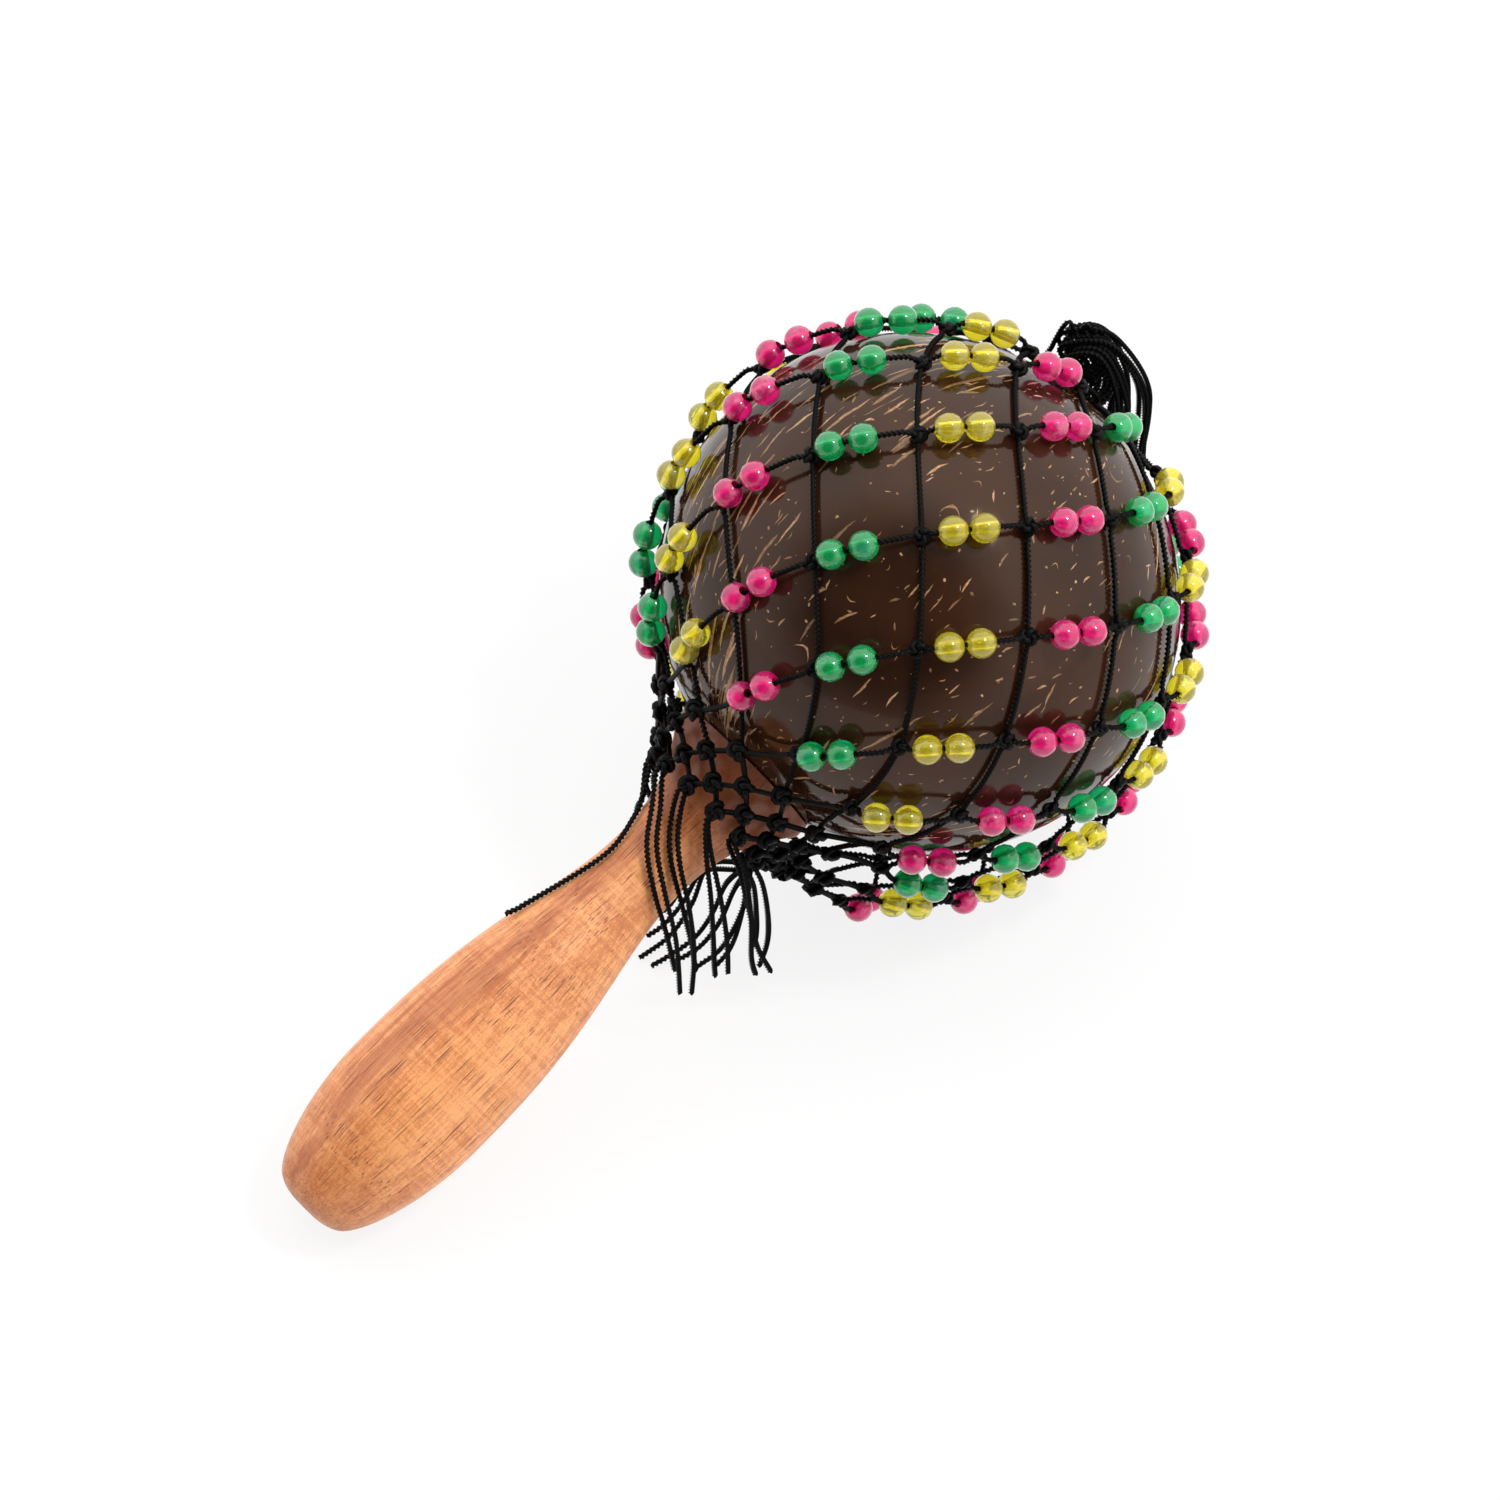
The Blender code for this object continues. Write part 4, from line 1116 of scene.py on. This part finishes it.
bead = one_bead()
threaded = {name: [] for name in BEAD_COLOURS}
colour_names = list(BEAD_COLOURS)
for index in range(CORDS_EACH_WAY):
    route = beaded_route(index)
    for row in range(BEAD_ROWS):
        middle, reach = pair_middle(route, row)
        name = colour_names[(index - row - 1) % len(colour_names)]
        spread = BEAD_RADIUS + 0.5 * PAIR_SPREAD[(3 * index + 2 * row) % len(PAIR_SPREAD)]
        for side in (-1.0, 1.0):
            along = middle + side * spread
            place = along_route(route, reach, along)
            heading = (along_route(route, reach, along + 0.5 * BEAD_RADIUS)
                       - along_route(route, reach, along - 0.5 * BEAD_RADIUS)).normalized()
            outward = (place - CENTRE).normalized()
            spin = BEAD_SPIN_PER_CORD * index + BEAD_SPIN_PER_ROW * row + side
            matrix = frame_at(place, heading, outward, spin)
            threaded[name].append(copy_mesh(bead, "bead_copy", matrix))
bpy.data.objects.remove(bead, do_unlink=True)
pearl_coat_and_painted_sheen = pearl_and_painted_sheen_group()
for name, colours in BEAD_COLOURS.items():
    beads = join_pieces(threaded[name], name)
    beads.data.materials.append(bead_finish(name, *colours))
    beads.data.materials.append(bore_finish(name.replace("beads", "bore"), colours[0]))
    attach(beads, "net")


# Tassel: at the far side of the shell the cords gather in a bound stem, and their cut ends fall from
# its top. The stem is a bundle of cords with a winding; each pair of ends leaves one place on it.
STEM_RADIUS = 0.0040
STEM_FOOT_RADIUS = 0.0028
STEM_CORDS = 15
STEM_LIFT = 0.0012
STEM_STEP = 0.0008
STEM_LEAN = 0.9
STEM_SWELLS = 2.5
WINDING_TURNS = 5
WINDING_SIDES = 24
WINDING_FROM = 0.62
WINDING_SPAN = 0.34
STEM_ROUTE = (
    Vector((0.0, 0.0, 0.0)),
    Vector((0.0050, 0.0013, 0.0008)),
    Vector((0.0066, 0.0030, 0.0038)),
    Vector((0.0059, 0.0046, 0.0066)),
    Vector((0.0048, 0.0058, 0.0092)),
)
STRAND_SPREAD = 0.0029
FIRST_STRAND_ANGLE = -75.0
STRAND_STEP_ANGLE = 40.0
STRAND_START = 0.0012
FINE_STEP = 0.0012
TASSEL_ROUTES = (
    ((0.0012, -0.0036, 0.0028), (0.0022, -0.0070, 0.0014), (0.0032, -0.0101, -0.0080),
     (0.0033, -0.0102, -0.0200), (0.0030, -0.0096, -0.0320)),
    ((0.0027, -0.0026, 0.0024), (0.0046, -0.0048, 0.0010), (0.0066, -0.0068, -0.0085),
     (0.0068, -0.0070, -0.0200), (0.0063, -0.0065, -0.0350)),
    ((0.0038, -0.0002, 0.0018), (0.0061, -0.0015, 0.0002), (0.0083, -0.0025, -0.0090),
     (0.0085, -0.0028, -0.0200), (0.0080, -0.0026, -0.0340)),
    ((0.0034, 0.0023, 0.0010), (0.0058, 0.0024, -0.0008), (0.0083, 0.0022, -0.0090),
     (0.0088, 0.0019, -0.0200), (0.0082, 0.0018, -0.0310)),
    ((0.0003, 0.0029, 0.0026), (0.0046, -0.0003, 0.0026), (0.0090, -0.0010, -0.0060),
     (0.0112, -0.0015, -0.0165), (0.0120, -0.0015, -0.0260), (0.0112, -0.0014, -0.0390)),
    ((-0.0017, 0.0024, 0.0034), (0.0037, -0.0024, 0.0042), (0.0078, -0.0050, -0.0030),
     (0.0115, -0.0074, -0.0150), (0.0123, -0.0077, -0.0260), (0.0114, -0.0072, -0.0440)),
    ((-0.0028, 0.0008, 0.0028), (0.0024, -0.0041, 0.0042), (0.0050, -0.0081, 0.0008),
     (0.0074, -0.0119, -0.0090), (0.0077, -0.0123, -0.0240), (0.0072, -0.0114, -0.0430)),
    ((-0.0029, -0.0018, 0.0034), (0.0000, -0.0055, 0.0046), (0.0010, -0.0090, 0.0008),
     (0.0015, -0.0118, -0.0090), (0.0015, -0.0122, -0.0240), (0.0014, -0.0114, -0.0400)),
)
TOP_LOOPS = (
    ((-0.0049, -0.0035, -0.0086), (-0.0045, 0.0055, -0.0060), (-0.0036, 0.0046, 0.0004),
     (-0.0020, 0.0035, 0.0064), (-0.0010, 0.0026, 0.0086), (-0.0005, 0.0018, 0.0066),
     (-0.0014, 0.0023, 0.0030), (-0.0010, 0.0010, -0.0012)),
    ((0.0006, 0.0016, -0.0010), (0.0008, 0.0010, 0.0050), (0.0015, 0.0000, 0.0078),
     (0.0024, -0.0010, 0.0056), (0.0026, -0.0014, -0.0006)),
    ((0.0020, 0.0006, -0.0008), (0.0034, -0.0004, 0.0036), (0.0042, -0.0014, 0.0044),
     (0.0044, -0.0024, 0.0020), (0.0034, -0.0026, -0.0010)),
)
END_STARTS_APART = 0.0007
END_FALLS_APART = 0.0016
PAIR_TWIST = 2.2
PAIR_PHASE = 0.8
TWIN_ENDS_EARLIER = 3
CLEAR_OF_WOOD = CORD_RADIUS + 0.0002
CLEAR_OF_TABLE = CORD_RADIUS + 0.0001


def smooth_route(points, step):
    """Points about a step apart on a smooth curve through the given points."""
    ends = [2.0 * points[0] - points[1]] + list(points) + [2.0 * points[-1] - points[-2]]
    route = []
    for before, start, end, after in zip(ends, ends[1:], ends[2:], ends[3:]):
        count = max(1, round((end - start).length / step))
        route += [smooth_point(before, start, end, after, place / count) for place in range(count)]
    route.append(points[-1].copy())
    return route


def frames_along(route):
    """Two directions square to a line at each of its points, carried along it without a twist."""
    across = None
    frames = []
    for place in range(len(route)):
        heading = (route[min(place + 1, len(route) - 1)] - route[max(place - 1, 0)]).normalized()
        if across is None:
            across = heading.orthogonal()
        across = (across - heading * across.dot(heading)).normalized()
        frames.append((across, heading.cross(across)))
    return frames


def clear_of_rest(point):
    """Move a point of a cord out of the handle, the shell and the table."""
    from_centre = point - CENTRE
    along = -from_centre.dot(AXIS)
    radial = from_centre + AXIS * along
    least = 0.0
    if RIM_AT - RIM_LIP < along < HANDLE_END_AT:
        least = handle_radius(along) + CLEAR_OF_WOOD
    elif -SHELL_TASSEL_LENGTH < along < SHELL_HANDLE_LENGTH:
        length = SHELL_HANDLE_LENGTH if along > 0.0 else SHELL_TASSEL_LENGTH
        least = SHELL_HALF_WIDTH * math.sqrt(1.0 - (along / length) ** 2) + CLEAR_OF_WOOD
    if radial.length < least:
        point = CENTRE - AXIS * along + radial.normalized() * least
    point.z = max(point.z, CLEAR_OF_TABLE)
    return point


def cord_ends(name, points, node, phase, twin_points=None):
    """Two cut cord ends that fall side by side, unless the twin has its own route, as free cords."""
    for end, side in (("a", 1.0), ("b", -1.0)):
        middle = smooth_route(twin_points if twin_points and side < 0.0 else points, FINE_STEP)
        frames = frames_along(middle)
        route = []
        for place, (point, (across, beside)) in enumerate(zip(middle, frames)):
            share = place / (len(middle) - 1)
            turn = phase + PAIR_TWIST * share
            apart = END_STARTS_APART + (END_FALLS_APART - END_STARTS_APART) * share
            offset = (across * math.cos(turn) + beside * math.sin(turn)) * side * apart
            route.append(clear_of_rest(point + offset))
        if side < 0.0:
            route = route[:-TWIN_ENDS_EARLIER]
        cord = twisted_cord(f"{name}{end}", route, black_cord)
        length = sum((after - before).length for before, after in zip(route, route[1:]))
        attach(cord, "net")
        if side > 0.0:
            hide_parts(node)


foot = net_point(-ROW_0_ANGLE / ROW_STEP_ANGLE, 0.0, STEM_LIFT)
stem = smooth_route([foot + step for step in STEM_ROUTE], STEM_STEP)
frames = frames_along(stem)
bundle = []
for cord in range(STEM_CORDS):
    turn = 2.0 * math.pi * cord / STEM_CORDS
    route = []
    for place, (point, (across, beside)) in enumerate(zip(stem, frames)):
        share = place / (len(stem) - 1)
        radius = STEM_FOOT_RADIUS + (STEM_RADIUS - STEM_FOOT_RADIUS) * ease(STEM_SWELLS * share)
        lean = turn + STEM_LEAN * share
        outward = across * math.cos(lean) + beside * math.sin(lean)
        route.append(point + outward * (radius - CORD_RADIUS))
    bundle.append(twisted_cord("stem_cord", route, black_cord))
winding = []
for step in range(WINDING_TURNS * WINDING_SIDES + 1):
    share = WINDING_FROM + WINDING_SPAN * step / (WINDING_TURNS * WINDING_SIDES)
    place = share * (len(stem) - 1)
    point = stem[int(place)].lerp(stem[min(int(place) + 1, len(stem) - 1)], place - int(place))
    across, beside = frames[int(place)]
    turn = 2.0 * math.pi * step / WINDING_SIDES
    winding.append(point + (across * math.cos(turn) + beside * math.sin(turn)) * STEM_RADIUS)
bundle.append(twisted_cord("stem_winding", winding, black_cord))
for points in TOP_LOOPS:
    loop = smooth_route([stem[-1] + Vector(point) for point in points], FINE_STEP)
    bundle.append(twisted_cord("top_loop", loop, black_cord))
tassel_stem = join_pieces(bundle, "tassel_bundle")
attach(tassel_stem, "net")
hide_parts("tassel_stem")

heading = (stem[-1] - stem[-2]).normalized()
across = (Vector((1.0, 0.0, 0.0)) - heading * heading.x).normalized()
beside = heading.cross(across)
top = stem[-1] + heading * STRAND_START
for index, steps in enumerate(TASSEL_ROUTES):
    turn = math.radians(FIRST_STRAND_ANGLE + STRAND_STEP_ANGLE * index)
    start = top + (across * math.cos(turn) + beside * math.sin(turn)) * STRAND_SPREAD
    points = [start] + [top + Vector(step) for step in steps]
    cord_ends(f"tassel_end_{index + 1:02d}", points, f"tassel_strand_{index + 1:02d}",
              PAIR_PHASE * index)


# Fringe: past the last row of knots, round the handle's neck, the cut ends of the cords hang down to
# the table, two from each knot. One end lies along the top of the handle, and its twin hangs behind.
FRINGE_PHASE = 1.7
FIRST_FRINGE_CORD = -2
SOLID_FRINGE_LIFT = 0.00245
SOLID_END_GAP = 0.0010
TABLE_MIDDLE = Vector((CENTRE.x, CENTRE.y, 0.0))
FRINGE_ROUTES = (
    ((-0.0685, -0.0020, 0.0495), (-0.0730, -0.0070, 0.0460), (-0.0755, -0.0125, 0.0370),
     (-0.0760, -0.0145, 0.0240), (-0.0770, -0.0155, 0.0110)),
    ((-0.0670, -0.0100, 0.0475), (-0.0695, -0.0145, 0.0380), (-0.0705, -0.0165, 0.0250),
     (-0.0715, -0.0175, 0.0100)),
    ((-0.0635, -0.0160, 0.0415), (-0.0645, -0.0190, 0.0300), (-0.0650, -0.0205, 0.0170),
     (-0.0635, -0.0215, 0.0070)),
    ((-0.0605, -0.0170, 0.0350), (-0.0605, -0.0180, 0.0240), (-0.0600, -0.0170, 0.0130),
     (-0.0610, -0.0160, 0.0040)),
    ((-0.0600, -0.0130, 0.0270), (-0.0625, -0.0125, 0.0160), (-0.0655, -0.0110, 0.0060),
     (-0.0710, -0.0095, 0.0016)),
    ((-0.0595, -0.0070, 0.0200), (-0.0630, -0.0060, 0.0100), (-0.0680, -0.0045, 0.0030),
     (-0.0770, -0.0025, 0.0014)),
    ((-0.0595, 0.0005, 0.0180), (-0.0640, 0.0015, 0.0080), (-0.0700, 0.0020, 0.0025),
     (-0.0770, 0.0030, 0.0014)),
    ((-0.0595, 0.0060, 0.0210), (-0.0620, 0.0058, 0.0110), (-0.0660, 0.0065, 0.0030),
     (-0.0740, 0.0080, 0.0014)),
    ((-0.0595, 0.0102, 0.0270), (-0.0615, 0.0098, 0.0160), (-0.0635, 0.0105, 0.0060),
     (-0.0690, 0.0122, 0.0014)),
    ((-0.0610, 0.0148, 0.0345), (-0.0595, 0.0140, 0.0220), (-0.0602, 0.0140, 0.0110),
     (-0.0618, 0.0150, 0.0020)),
    ((-0.0700, 0.0067, 0.0460), (-0.0791, 0.0040, 0.0447), (-0.0907, 0.0064, 0.0417),
     (-0.1027, 0.0114, 0.0394)),
    ((-0.0690, 0.0028, 0.0505), (-0.0750, -0.0025, 0.0479), (-0.0790, -0.0090, 0.0427),
     (-0.0805, -0.0135, 0.0330), (-0.0810, -0.0155, 0.0160)),
)
LIES_ON_HANDLE = 10
HANGS_BEHIND = ((-0.0672, 0.0092, 0.0462), (-0.0680, 0.0100, 0.0410), (-0.0682, 0.0102, 0.0330),
                (-0.0680, 0.0104, 0.0230), (-0.0678, 0.0104, 0.0120))
for index, steps in enumerate(FRINGE_ROUTES):
    turn = bare_turn(index + FIRST_FRINGE_CORD, LAST_ROW)
    knot_place = net_point(LAST_ROW, turn, KNOT_LIFT)
    last = net_point(COLLAR_END_ROW, turn, SOLID_FRINGE_LIFT)
    onward = (last - net_point(LAST_ROW, turn, SOLID_FRINGE_LIFT)).normalized()
    start = [knot_place, last + onward * SOLID_END_GAP]
    points = start + [TABLE_MIDDLE + Vector(step) for step in steps]
    twin_points = None
    if index == LIES_ON_HANDLE:
        twin_points = start + [TABLE_MIDDLE + Vector(step) for step in HANGS_BEHIND]
    cord_ends(f"fringe_end_{index + 1:02d}", points, f"fringe_strand_{index + 1:02d}",
              FRINGE_PHASE * index, twin_points)
bpy.data.objects.remove(cord_section, do_unlink=True)
